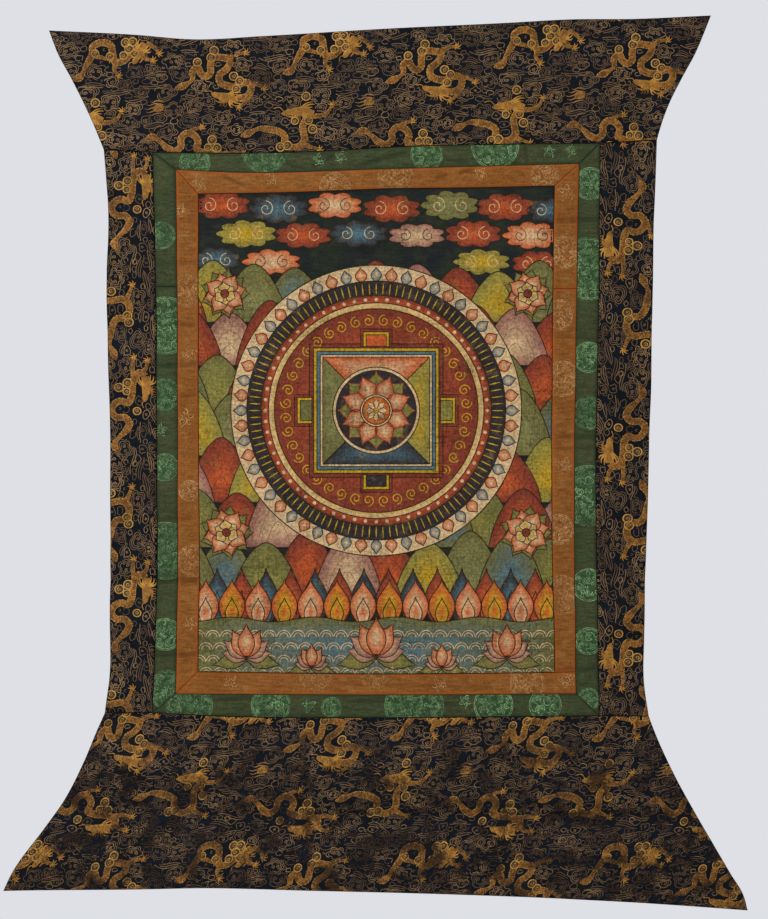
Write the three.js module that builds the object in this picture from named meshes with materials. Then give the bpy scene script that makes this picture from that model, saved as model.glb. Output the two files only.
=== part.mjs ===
// A thangka: a painted canvas framed by two rings of damask strips and sewn into a flared mount
// of dark dragon brocade, hanging by its top edge.
// Millimetres, +Z up. The painted side faces -Y, and the origin is the middle of the top edge.
import * as THREE from "three";

// Cloth thicknesses, each with its facing, and the open slit along every seam.
const CANVAS_THICK = 1.4;
const SILK_THICK = 1.6;
const BROCADE_THICK = 2.0;
const SEAM_SLIT = 0.3;

// How the cloth hangs: flat along the top hem, then loose, with a slack belly and curling corners.
const FLAT_HEM = 40;
const LOOSE_FROM = 120;
const HALF_WAIST = 330;
const BELLY = 5;
const BELLY_LENGTH = 1060;
const EDGE_CUP = 3;
const CUP_FROM = 240;
const CURL_FROM_X = 300;
const CURL_REACH = 150;
const CURL_TOP = 850;
const CURL_FULL = 1040;
const CURL_LEFT = 15;
const CURL_RIGHT = -9;

// Soft folds left by rolling the scroll up, from the top down. Each fold line crosses the cloth at
// height z, higher by rise at the right side. It stands depth towards the viewer (behind the cloth
// if negative), fades over half, and has a share of its depth at the left and right sides.
const FOLDS = [
  { z: -95, rise: 8, depth: -2.5, half: 26, left: 0.5, right: 1.0 },
  { z: -184, rise: 4, depth: 2.8, half: 20, left: 1.1, right: 0.5 },
  { z: -239, rise: 3, depth: -3.2, half: 22, left: 0.4, right: 1.2 },
  { z: -290, rise: -9, depth: 3.0, half: 22, left: 1.2, right: 0.6 },
  { z: -366, rise: -4, depth: -4.4, half: 24, left: 1.1, right: 0.9 },
  { z: -424, rise: -8, depth: 2.8, half: 22, left: 0.8, right: 1.1 },
  { z: -488, rise: 4, depth: -3.4, half: 28, left: 0.5, right: 1.2 },
  { z: -560, rise: -6, depth: 3.2, half: 26, left: 1.1, right: 0.6 },
  { z: -612, rise: 3, depth: -2.6, half: 20, left: 1.2, right: 0.3 },
  { z: -659, rise: 0, depth: -4.2, half: 16, left: 1.3, right: 0.8 },
  { z: -712, rise: 7, depth: 3.4, half: 22, left: 0.9, right: 1.1 },
  { z: -770, rise: 4, depth: -3.6, half: 22, left: 1.0, right: 1.1 },
  { z: -842, rise: -4, depth: -4.2, half: 20, left: 1.1, right: 0.7 },
  { z: -898, rise: -10, depth: 4.6, half: 24, left: 1.2, right: 0.7 },
  { z: -948, rise: -2, depth: -5.2, half: 15, left: 0.5, right: 1.2 },
  { z: -1000, rise: 4, depth: 3.8, half: 28, left: 1.0, right: 0.6 },
];

// Corners where cut edges and seams meet, as x and z seen from the front.
const CORNERS = {
  hemTopLeft: { x: -397.2, z: -1.8 },
  hemTopRight: { x: 397.2, z: 16.2 },
  hemBottomLeft: { x: -450, z: -1032 },
  hemBottomRight: { x: 442.8, z: -1059.6 },
  shoulderTopLeft: { x: -331.5, z: -145 },
  shoulderTopRight: { x: 332.4, z: -133.2 },
  shoulderBottomLeft: { x: -330.5, z: -821 },
  shoulderBottomRight: { x: 322.5, z: -824.6 },
  greenTopLeft: { x: -272.4, z: -148.2 },
  greenTopRight: { x: 264, z: -137.3 },
  greenBottomLeft: { x: -273, z: -820.2 },
  greenBottomRight: { x: 262.8, z: -823.8 },
  greenJoinOuter: { x: -268.6, z: -309.6 },
  greenJoinInner: { x: -243, z: -309.6 },
  tanTopLeft: { x: -244.8, z: -169 },
  tanTopRight: { x: 238.8, z: -162 },
  tanBottomLeft: { x: -245.2, z: -797.6 },
  tanBottomRight: { x: 235.2, z: -797.2 },
  tanJoinOuter: { x: 235.8, z: -312 },
  tanJoinInner: { x: 207.2, z: -312 },
  tanButt: { x: 234.6, z: -771.4 },
  canvasTopLeft: { x: -217.8, z: -198.4 },
  canvasTopRight: { x: 209.3, z: -188.4 },
  canvasBottomLeft: { x: -218.4, z: -771.1 },
  canvasBottomRight: { x: 209.6, z: -772.1 },
};

// Every cut edge and seam runs between two corners through the x, z points that its hand-cut
// shape needs, in a number of steps. Level lines run to the right, and upright ones downwards.
const LINES = {
  topEdge: {
    from: "hemTopLeft",
    to: "hemTopRight",
    steps: 14,
    via: [[-293, -7], [-225, -12.4], [-139, -8.4], [0, 0], [149, 7.2], [235, 11.7], [300, 12]],
  },
  bottomEdge: {
    from: "hemBottomLeft",
    to: "hemBottomRight",
    steps: 15,
    via: [[-312, -1033], [-216, -1030.8], [-82, -1034], [72, -1038], [226, -1044], [379, -1054]],
  },
  flareTopLeft: {
    from: "hemTopLeft",
    to: "shoulderTopLeft",
    steps: 9,
    via: [[-386.4, -30], [-370.8, -58.8], [-356.4, -87.6], [-343.2, -116.4]],
  },
  flareTopRight: {
    from: "hemTopRight",
    to: "shoulderTopRight",
    steps: 9,
    via: [[378, -30], [362.4, -58.8], [348, -87.6], [337.2, -116.4]],
  },
  waistLeft: {
    from: "shoulderTopLeft",
    to: "shoulderBottomLeft",
    steps: 56,
    via: [[-326.6, -205], [-328, -325], [-324, -469], [-324, -685], [-325.2, -781]],
  },
  waistRight: {
    from: "shoulderTopRight",
    to: "shoulderBottomRight",
    steps: 58,
    via: [[329, -229], [325.2, -421], [320.4, -589], [316.8, -733], [317.4, -790]],
  },
  flareBottomLeft: {
    from: "shoulderBottomLeft",
    to: "hemBottomLeft",
    steps: 18,
    via: [[-339.6, -841], [-355.2, -879.6], [-380.4, -927.6], [-400.8, -956.4], [-441.6, -1014]],
  },
  flareBottomRight: {
    from: "shoulderBottomRight",
    to: "hemBottomRight",
    steps: 18,
    via: [[328.8, -841], [355.2, -899], [387.6, -956.4], [421.2, -1014], [437.5, -1041]],
  },
  seamTopLeft: { from: "shoulderTopLeft", to: "greenTopLeft", steps: 2, via: [] },
  seamTopRight: { from: "greenTopRight", to: "shoulderTopRight", steps: 2, via: [] },
  seamBottomLeft: { from: "shoulderBottomLeft", to: "greenBottomLeft", steps: 2, via: [] },
  seamBottomRight: { from: "greenBottomRight", to: "shoulderBottomRight", steps: 2, via: [] },
  greenTop: {
    from: "greenTopLeft",
    to: "greenTopRight",
    steps: 10,
    via: [[-180, -149.4], [-72, -147.1], [24, -141.6], [144, -138.7]],
  },
  greenBottom: {
    from: "greenBottomLeft",
    to: "greenBottomRight",
    steps: 11,
    via: [[-192, -824.4], [4.8, -826.2], [144, -825]],
  },
  greenLeftUpper: { from: "greenTopLeft", to: "greenJoinOuter", steps: 13, via: [] },
  greenLeftLower: {
    from: "greenJoinOuter",
    to: "greenBottomLeft",
    steps: 43,
    via: [[-267.8, -445], [-267.8, -685]],
  },
  greenRight: {
    from: "greenTopRight",
    to: "greenBottomRight",
    steps: 58,
    via: [[262.2, -325], [258.6, -565], [260.4, -685]],
  },
  greenJoin: { from: "greenJoinOuter", to: "greenJoinInner", steps: 1, via: [] },
  greenMitreTopLeft: { from: "greenTopLeft", to: "tanTopLeft", steps: 1, via: [] },
  greenMitreTopRight: { from: "greenTopRight", to: "tanTopRight", steps: 1, via: [] },
  greenMitreBottomLeft: { from: "tanBottomLeft", to: "greenBottomLeft", steps: 1, via: [] },
  greenMitreBottomRight: { from: "tanBottomRight", to: "greenBottomRight", steps: 1, via: [] },
  tanTop: {
    from: "tanTopLeft",
    to: "tanTopRight",
    steps: 10,
    via: [[-180, -172.3], [4.8, -168.4], [120, -165]],
  },
  tanBottom: { from: "tanBottomLeft", to: "tanBottomRight", steps: 11, via: [[60, -798.6]] },
  tanLeftUpper: { from: "tanTopLeft", to: "greenJoinInner", steps: 13, via: [] },
  tanLeftLower: {
    from: "greenJoinInner",
    to: "tanBottomLeft",
    steps: 43,
    via: [[-242.4, -565], [-242.8, -685]],
  },
  tanRightUpper: { from: "tanTopRight", to: "tanJoinOuter", steps: 12, via: [] },
  tanRightLower: { from: "tanJoinOuter", to: "tanButt", steps: 44, via: [[232.8, -580]] },
  tanRightEnd: { from: "tanButt", to: "tanBottomRight", steps: 1, via: [] },
  tanJoin: { from: "tanJoinInner", to: "tanJoinOuter", steps: 1, via: [] },
  tanButtSeam: { from: "canvasBottomRight", to: "tanButt", steps: 1, via: [] },
  tanMitreTopLeft: { from: "tanTopLeft", to: "canvasTopLeft", steps: 1, via: [] },
  tanMitreTopRight: { from: "tanTopRight", to: "canvasTopRight", steps: 1, via: [] },
  tanMitreBottomLeft: { from: "canvasBottomLeft", to: "tanBottomLeft", steps: 1, via: [] },
  canvasTop: {
    from: "canvasTopLeft",
    to: "canvasTopRight",
    steps: 10,
    via: [[-96, -196], [4.8, -192], [120, -190.4]],
  },
  canvasBottom: { from: "canvasBottomLeft", to: "canvasBottomRight", steps: 10, via: [[0, -773.8]] },
  canvasLeft: {
    from: "canvasTopLeft",
    to: "canvasBottomLeft",
    steps: 56,
    via: [[-217.8, -445], [-216.8, -685]],
  },
  canvasRightUpper: { from: "canvasTopRight", to: "tanJoinInner", steps: 12, via: [] },
  canvasRightLower: { from: "tanJoinInner", to: "canvasBottomRight", steps: 44, via: [[206, -580]] },
};

const CLOTHS = {
  canvas: { thick: CANVAS_THICK, colour: 0x8a5a3c, roughness: 0.85 },
  tan: { thick: SILK_THICK, colour: 0x8a5a2c, roughness: 0.6 },
  green: { thick: SILK_THICK, colour: 0x34553a, roughness: 0.55 },
  brocade: { thick: BROCADE_THICK, colour: 0x2a241c, roughness: 0.6 },
};

// The pieces as cut: the lines along the top, bottom, left and right of each.
const PIECES = [
  {
    name: "painted_canvas",
    cloth: "canvas",
    top: ["canvasTop"],
    bottom: ["canvasBottom"],
    left: ["canvasLeft"],
    right: ["canvasRightUpper", "canvasRightLower"],
  },
  {
    name: "tan_top",
    cloth: "tan",
    top: ["tanTop"],
    bottom: ["canvasTop"],
    left: ["tanMitreTopLeft"],
    right: ["tanMitreTopRight"],
  },
  {
    name: "tan_bottom",
    cloth: "tan",
    top: ["canvasBottom", "tanButtSeam"],
    bottom: ["tanBottom"],
    left: ["tanMitreBottomLeft"],
    right: ["tanRightEnd"],
  },
  {
    name: "tan_left",
    cloth: "tan",
    top: ["tanMitreTopLeft"],
    bottom: ["tanMitreBottomLeft:back"],
    left: ["tanLeftUpper", "tanLeftLower"],
    right: ["canvasLeft"],
  },
  {
    name: "tan_right_upper",
    cloth: "tan",
    top: ["tanMitreTopRight:back"],
    bottom: ["tanJoin"],
    left: ["canvasRightUpper"],
    right: ["tanRightUpper"],
  },
  {
    name: "tan_right_lower",
    cloth: "tan",
    top: ["tanJoin"],
    bottom: ["tanButtSeam"],
    left: ["canvasRightLower"],
    right: ["tanRightLower"],
  },
  {
    name: "green_top",
    cloth: "green",
    top: ["greenTop"],
    bottom: ["tanTop"],
    left: ["greenMitreTopLeft"],
    right: ["greenMitreTopRight"],
  },
  {
    name: "green_bottom",
    cloth: "green",
    top: ["tanBottom"],
    bottom: ["greenBottom"],
    left: ["greenMitreBottomLeft"],
    right: ["greenMitreBottomRight"],
  },
  {
    name: "green_left_upper",
    cloth: "green",
    top: ["greenMitreTopLeft"],
    bottom: ["greenJoin"],
    left: ["greenLeftUpper"],
    right: ["tanLeftUpper"],
  },
  {
    name: "green_left_lower",
    cloth: "green",
    top: ["greenJoin"],
    bottom: ["greenMitreBottomLeft:back"],
    left: ["greenLeftLower"],
    right: ["tanLeftLower"],
  },
  {
    name: "green_right",
    cloth: "green",
    top: ["greenMitreTopRight:back"],
    bottom: ["greenMitreBottomRight"],
    left: ["tanRightUpper", "tanRightLower", "tanRightEnd"],
    right: ["greenRight"],
  },
  {
    name: "brocade_top",
    cloth: "brocade",
    top: ["topEdge"],
    bottom: ["seamTopLeft", "greenTop", "seamTopRight"],
    left: ["flareTopLeft"],
    right: ["flareTopRight"],
  },
  {
    name: "brocade_bottom",
    cloth: "brocade",
    top: ["seamBottomLeft", "greenBottom", "seamBottomRight"],
    bottom: ["bottomEdge"],
    left: ["flareBottomLeft"],
    right: ["flareBottomRight"],
  },
  {
    name: "brocade_left",
    cloth: "brocade",
    top: ["seamTopLeft"],
    bottom: ["seamBottomLeft"],
    left: ["waistLeft"],
    right: ["greenLeftUpper", "greenLeftLower"],
  },
  {
    name: "brocade_right",
    cloth: "brocade",
    top: ["seamTopRight"],
    bottom: ["seamBottomRight"],
    left: ["greenRight"],
    right: ["waistRight"],
  },
];

const { lerp, smoothstep } = THREE.MathUtils;

// How far the middle of the cloth stands towards the viewer at a place on the front.
function reliefAt(x, z) {
  const across = x / HALF_WAIST;
  const outward = Math.abs(x);
  let relief = BELLY * Math.sin((-Math.PI * z) / BELLY_LENGTH);
  for (const fold of FOLDS) {
    const offset = (z - fold.z - fold.rise * across) / fold.half;
    const share = lerp(fold.left, fold.right, smoothstep(across, -1, 1));
    relief += fold.depth * share * Math.exp(-offset * offset);
  }
  relief -= EDGE_CUP * smoothstep(outward, CUP_FROM, HALF_WAIST);
  const curl = x < 0 ? CURL_LEFT : CURL_RIGHT;
  const reach = Math.max(0, outward - CURL_FROM_X) / CURL_REACH;
  relief += curl * reach * reach * smoothstep(-z, CURL_TOP, CURL_FULL);
  return relief * smoothstep(-z, FLAT_HEM, LOOSE_FROM);
}

// Evenly spaced points along a named line, which ":back" runs the other way.
function linePoints(label) {
  const [name, way] = label.split(":");
  const { from, to, steps, via } = LINES[name];
  const stops = [CORNERS[from], ...via.map(([x, z]) => ({ x, z })), CORNERS[to]];
  const curve = new THREE.CatmullRomCurve3(stops.map(({ x, z }) => new THREE.Vector3(x, 0, z)));
  const points = curve.getSpacedPoints(steps);
  return way === "back" ? points.reverse() : points;
}

// One side of a piece: its lines end to end, each shared corner once.
function sidePoints(labels) {
  return labels.flatMap((label, i) => linePoints(label).slice(i === 0 ? 0 : 1));
}

// Moves a loop of points, counter-clockwise from the front, inwards by a distance.
function insetLoop(loop, distance) {
  const inward = (a, b) => new THREE.Vector3(a.z - b.z, 0, b.x - a.x).normalize();
  return loop.map((point, i) => {
    const before = inward(loop.at(i - 1), point);
    const after = inward(point, loop[(i + 1) % loop.length]);
    const mitre = distance / (1 + before.dot(after));
    return before.add(after).multiplyScalar(mitre).add(point);
  });
}

// The four sides of a piece, drawn in by half of the seam slit.
function insetSides(piece) {
  const [top, bottom, left, right] = ["top", "bottom", "left", "right"].map((side) =>
    sidePoints(piece[side]),
  );
  const columns = top.length - 1;
  const rows = left.length - 1;
  const loop = insetLoop(
    [
      ...bottom.slice(0, columns),
      ...right.toReversed().slice(0, rows),
      ...top.toReversed().slice(0, columns),
      ...left.slice(0, rows),
    ],
    SEAM_SLIT / 2,
  );
  const closed = [...loop, loop[0]];
  return {
    columns,
    rows,
    bottom: closed.slice(0, columns + 1),
    right: closed.slice(columns, columns + rows + 1).reverse(),
    top: closed.slice(columns + rows, 2 * columns + rows + 1).reverse(),
    left: closed.slice(2 * columns + rows),
  };
}

// A patch filled in between its four sides, row by row from the top.
function patchPoints({ columns, rows, top, bottom, left, right }) {
  const mix = (a, b, t) => new THREE.Vector3().lerpVectors(a, b, t);
  const points = [];
  for (let j = 0; j <= rows; j++) {
    const v = j / rows;
    for (let i = 0; i <= columns; i++) {
      const u = i / columns;
      const corners = mix(mix(top[0], top[columns], u), mix(bottom[0], bottom[columns], u), v);
      const point = mix(top[i], bottom[i], v).add(mix(left[j], right[j], u)).sub(corners);
      points.push(point);
    }
  }
  return points;
}

// A closed sheet: the patch on the hanging cloth, thickened to both sides of it.
function sheetGeometry(piece, thick) {
  const sides = insetSides(piece);
  const { columns, rows } = sides;
  const patch = patchPoints(sides);
  const layer = (shift) => patch.flatMap(({ x, z }) => [x, shift - reliefAt(x, z), z]);
  const index = [];
  const front = (i, j) => j * (columns + 1) + i;
  const back = (i, j) => front(i, j) + patch.length;
  for (let j = 0; j < rows; j++) {
    for (let i = 0; i < columns; i++) {
      index.push(front(i, j), front(i, j + 1), front(i + 1, j + 1));
      index.push(front(i, j), front(i + 1, j + 1), front(i + 1, j));
      index.push(back(i, j), back(i + 1, j + 1), back(i, j + 1));
      index.push(back(i, j), back(i + 1, j), back(i + 1, j + 1));
    }
  }
  const rim = (i0, j0, i1, j1) => {
    index.push(front(i0, j0), back(i0, j0), front(i1, j1));
    index.push(front(i1, j1), back(i0, j0), back(i1, j1));
  };
  for (let i = 0; i < columns; i++) {
    rim(i, rows, i + 1, rows);
    rim(i + 1, 0, i, 0);
  }
  for (let j = 0; j < rows; j++) {
    rim(columns, j + 1, columns, j);
    rim(0, j, 0, j + 1);
  }
  const geometry = new THREE.BufferGeometry();
  const positions = [...layer(-thick / 2), ...layer(thick / 2)];
  geometry.setAttribute("position", new THREE.Float32BufferAttribute(positions, 3));
  geometry.setIndex(index);
  geometry.computeVertexNormals();
  return geometry;
}

const thangka = new THREE.Group();
for (const piece of PIECES) {
  const { thick, colour, roughness } = CLOTHS[piece.cloth];
  const material = new THREE.MeshStandardMaterial({ color: colour, roughness, metalness: 0 });
  const sheet = new THREE.Mesh(sheetGeometry(piece, thick), material);
  sheet.name = piece.name;
  thangka.add(sheet);
}

export default thangka;
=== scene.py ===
# %% [markdown]
# # A thangka, from its sewn solids to a finished picture
# A thangka is a painting on canvas, framed by strips of silk and sewn into a mount of brocade, so
# that it can be rolled up and hung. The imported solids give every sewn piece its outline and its
# main folds. This lesson dresses each of them as a fine sheet of cloth, lays the woven gold and
# the painted design on the sheets, and lights the result.

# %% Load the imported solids
import math
import random

import bpy
import numpy as np
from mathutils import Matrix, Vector


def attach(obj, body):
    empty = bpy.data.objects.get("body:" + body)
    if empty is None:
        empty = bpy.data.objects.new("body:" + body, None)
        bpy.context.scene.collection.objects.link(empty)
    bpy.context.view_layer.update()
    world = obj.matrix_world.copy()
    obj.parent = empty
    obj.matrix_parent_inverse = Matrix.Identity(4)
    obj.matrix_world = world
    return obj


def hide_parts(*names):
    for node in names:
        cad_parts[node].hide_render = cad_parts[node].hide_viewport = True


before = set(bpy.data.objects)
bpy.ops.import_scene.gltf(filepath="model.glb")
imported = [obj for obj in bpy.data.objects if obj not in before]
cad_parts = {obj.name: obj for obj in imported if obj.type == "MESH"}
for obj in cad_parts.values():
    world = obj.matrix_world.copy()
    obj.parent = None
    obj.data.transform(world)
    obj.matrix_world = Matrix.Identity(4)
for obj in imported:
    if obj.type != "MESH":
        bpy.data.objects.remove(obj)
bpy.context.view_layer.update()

# %% [markdown]
# ## The camera
# The scroll was seen square on from a few metres away, so a long lens is right: it keeps the
# edges parallel. The scale of the cloth sets the distance. The frame is taller than it is wide, so
# the sensor's 36 mm covers its height.

# %% Camera
MM = 0.001
FRAME_PIXELS = (768, 919)
MM_PER_PIXEL = 1.2
TOP_EDGE_PIXEL = (380, 29)
LENS_MM = 100.0
SENSOR_MM = 36.0

frame_height = FRAME_PIXELS[1] * MM_PER_PIXEL * MM
camera_data = bpy.data.cameras.new("camera")
camera_data.lens = LENS_MM
camera_data.sensor_width = SENSOR_MM
camera = bpy.data.objects.new("camera", camera_data)
camera.location = (
    (FRAME_PIXELS[0] / 2 - TOP_EDGE_PIXEL[0]) * MM_PER_PIXEL * MM,
    -frame_height * LENS_MM / SENSOR_MM,
    (TOP_EDGE_PIXEL[1] - FRAME_PIXELS[1] / 2) * MM_PER_PIXEL * MM,
)
camera.rotation_euler = (math.pi / 2, 0.0, 0.0)
bpy.context.collection.objects.link(camera)
bpy.context.scene.camera = camera
print("camera at", [round(c, 3) for c in camera.location])

# %% [markdown]
# ## Shader maths as Python
# A finish is a sum of small patterns. Written as nodes it is hard to read, so one class wraps a
# socket and turns Python's operators into Math nodes. Every other node comes from one method,
# which takes the node's settings first and then its sockets.

# %% A socket with operators


class Wire:
    """A value in a shader: arithmetic on it adds Math nodes."""

    def __init__(self, finish, socket):
        self.finish = finish
        self.socket = socket

    def math(self, operation, *values):
        settings = {"operation": operation}
        inputs = dict(enumerate((self, *values)))
        return self.finish.add("ShaderNodeMath", settings, inputs)

    def __add__(self, other):
        return self.math("ADD", other)

    def __mul__(self, other):
        return self.math("MULTIPLY", other)

    def __sub__(self, other):
        return self.math("SUBTRACT", other)

    def __rsub__(self, other):
        return self.math("MULTIPLY_ADD", -1.0, other)

    def __truediv__(self, other):
        return self.math("DIVIDE", other)

    __radd__ = __add__
    __rmul__ = __mul__

    def sin(self):
        return self.math("SINE")

    def size(self):
        return self.math("ABSOLUTE")

    def rise(self, low, high):
        """0 below low, 1 above high, and a soft step between them."""
        settings = {"interpolation_type": "SMOOTHSTEP"}
        inputs = {"Value": self, "From Min": low, "From Max": high}
        return self.finish.add("ShaderNodeMapRange", settings, inputs)


print("operators that add Math nodes:", "+ - * /")

# %% A finish that adds nodes


class Finish:
    """A material under construction, with its one Principled shader."""

    def __init__(self, name, **constants):
        self.material = bpy.data.materials.new(name)
        self.material.use_nodes = True
        self.tree = self.material.node_tree
        self.shader = self.tree.nodes["Principled BSDF"]
        for socket, value in constants.items():
            self.shader.inputs[socket.replace("_", " ")].default_value = value

    def add(self, kind, settings=None, inputs=None, output=0):
        node = self.tree.nodes.new(kind)
        for key, value in (settings or {}).items():
            if key == "stops":
                self.set_stops(node.color_ramp, value)
            else:
                setattr(node, key, value)
        for key, value in (inputs or {}).items():
            self.feed(node.inputs[key], value)
        return Wire(self, node.outputs[output])

    def set_stops(self, ramp, stops):
        while len(ramp.elements) < len(stops):
            ramp.elements.new(0.5)
        for element, (place, colour) in zip(ramp.elements, stops):
            element.position = place
            element.color = (*colour, 1.0)

    def feed(self, socket, value):
        if isinstance(value, Wire):
            self.tree.links.new(value.socket, socket)
        elif socket.type == "RGBA" and len(value) == 3:
            socket.default_value = (*value, 1.0)
        else:
            socket.default_value = value

    def place(self):
        """The point on the cloth, in metres."""
        return self.add("ShaderNodeTexCoord", output="Object")

    def along(self, axis):
        return self.add("ShaderNodeSeparateXYZ", {}, {"Vector": self.place()}, output=axis)

    def attribute(self, name, output="Fac"):
        return self.add("ShaderNodeAttribute", {"attribute_name": name}, output=output)

    def noise(self, size_mm, detail=2.0, stretch=(1.0, 1.0, 1.0), output="Fac"):
        """Soft noise whose blots are about size_mm wide, drawn out by stretch."""
        scaled = self.add(
            "ShaderNodeVectorMath",
            {"operation": "MULTIPLY"},
            {0: self.place(), 1: tuple(1.0 / s for s in stretch)},
        )
        inputs = {"Vector": scaled, "Scale": 1.0 / (size_mm * MM), "Detail": detail}
        return self.add("ShaderNodeTexNoise", {}, inputs, output=output)

    def blend(self, share, first, second, mode="MIX"):
        settings = {"data_type": "RGBA", "blend_type": mode}
        return self.add("ShaderNodeMix", settings, {0: share, 6: first, 7: second}, output=2)

    def paint(self, **links):
        for socket, value in links.items():
            self.feed(self.shader.inputs[socket.replace("_", " ")], value)

    def bump(self, height, strength, depth_mm):
        inputs = {"Height": height, "Strength": strength, "Distance": depth_mm * MM}
        self.paint(Normal=self.add("ShaderNodeBump", {}, inputs))


def rgb(code):
    """A colour written as six hex digits, as the linear light that a shader wants."""
    channels = [int(code[i : i + 2], 16) / 255 for i in (0, 2, 4)]
    return tuple(c / 12.92 if c <= 0.04045 else ((c + 0.055) / 1.055) ** 2.4 for c in channels)


print("shader helpers ready, for example mid grey is", round(rgb("808080")[0], 3))

# %% [markdown]
# ## Studio
# The light is soft and even, as from a bright room. A pale world is the plain backdrop: the camera
# sees it at full strength, and it lights the cloth at a share of that. One large lamp high on the
# left draws the folds out, because creases that run across the cloth only show in light that falls
# from above. A weaker lamp fills in from below, and one more lights the back.

# %% Floor, world and lamps
FLOOR_Z = -1.4
FLOOR_HALF = 1.4
BACKDROP = rgb("dee0e5")
AMBIENT = 0.62
LAMPS = [
    {"name": "key", "at": (-1.2, -1.9, 1.7), "size": 1.2, "watts": 38.0},
    {"name": "fill", "at": (-1.2, -2.4, -1.1), "size": 1.8, "watts": 17.0},
    {"name": "back", "at": (2.4, 2.4, 1.4), "size": 1.8, "watts": 40.0},
]
LAMP_AIM = (0.0, 0.0, -0.55)

bpy.context.scene.view_settings.view_transform = "Standard"
world = bpy.data.worlds.new("studio")
world.use_nodes = True
bpy.context.scene.world = world
sky_nodes, sky_links = world.node_tree.nodes, world.node_tree.links
sky = sky_nodes["Background"]
sky.inputs["Color"].default_value = (*BACKDROP, 1.0)
seen = sky_nodes.new("ShaderNodeLightPath").outputs["Is Camera Ray"]
strength = sky_nodes.new("ShaderNodeMapRange")
strength.inputs["To Min"].default_value = AMBIENT
sky_links.new(seen, strength.inputs["Value"])
sky_links.new(strength.outputs["Result"], sky.inputs["Strength"])

for lamp in LAMPS:
    data = bpy.data.lights.new(lamp["name"], "AREA")
    data.size = lamp["size"]
    data.energy = lamp["watts"]
    light = bpy.data.objects.new(lamp["name"], data)
    light.location = lamp["at"]
    aim = Vector(LAMP_AIM) - Vector(lamp["at"])
    light.rotation_euler = aim.to_track_quat("-Z", "Y").to_euler()
    bpy.context.collection.objects.link(light)

floor_finish = Finish("floor_paint", Roughness=0.7)
floor_shade = floor_finish.noise(300.0)
floor_finish.paint(Base_Color=floor_finish.blend(floor_shade, rgb("d8d8da"), rgb("dededf")))
floor_mesh = bpy.data.meshes.new("floor")
floor_corners = [(-1, -1), (1, -1), (1, 1), (-1, 1)]
floor_mesh.from_pydata(
    [(FLOOR_HALF * x, FLOOR_HALF * y, FLOOR_Z) for x, y in floor_corners], [], [(0, 1, 2, 3)]
)
floor = bpy.data.objects.new("floor", floor_mesh)
floor.data.materials.append(floor_finish.material)
bpy.context.collection.objects.link(floor)
print("lamps:", [lamp["name"] for lamp in LAMPS])

# %% [markdown]
# ## How the cloth hangs
# Rolling leaves soft folds across a scroll. Each row below is one fold: the height of its line,
# how much that line climbs to the right, how far it stands towards the viewer, how wide it is, and
# how strong it is at the left and right sides. The same rows shape the solids, so the fine cloth
# lies on them. The finer creases are the cloth's own: each is a line with a depth and a width, and
# is a soft trough or ridge along it. All sizes are in millimetres.

# %% Folds and creases
FLAT_HEM = 40.0
LOOSE_FROM = 120.0
HALF_WAIST = 330.0
BELLY = 5.0
BELLY_LENGTH = 1060.0
EDGE_CUP = 3.0
CUP_FROM = 240.0
CURL_FROM_X = 300.0
CURL_REACH = 150.0
CURL_TOP = 850.0
CURL_FULL = 1040.0
CURL_LEFT = 15.0
CURL_RIGHT = -9.0
FOLDS = [  # height z, climb, depth, half width, share at left, share at right
    (-95, 8, -2.5, 26, 0.5, 1.0),
    (-184, 4, 2.8, 20, 1.1, 0.5),
    (-239, 3, -3.2, 22, 0.4, 1.2),
    (-290, -9, 3.0, 22, 1.2, 0.6),
    (-366, -4, -4.4, 24, 1.1, 0.9),
    (-424, -8, 2.8, 22, 0.8, 1.1),
    (-488, 4, -3.4, 28, 0.5, 1.2),
    (-560, -6, 3.2, 26, 1.1, 0.6),
    (-612, 3, -2.6, 20, 1.2, 0.3),
    (-659, 0, -4.2, 16, 1.3, 0.8),
    (-712, 7, 3.4, 22, 0.9, 1.1),
    (-770, 4, -3.6, 22, 1.0, 1.1),
    (-842, -4, -4.2, 20, 1.1, 0.7),
    (-898, -10, 4.6, 24, 1.2, 0.7),
    (-948, -2, -5.2, 15, 0.5, 1.2),
    (-1000, 4, 3.8, 28, 1.0, 0.6),
]
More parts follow.
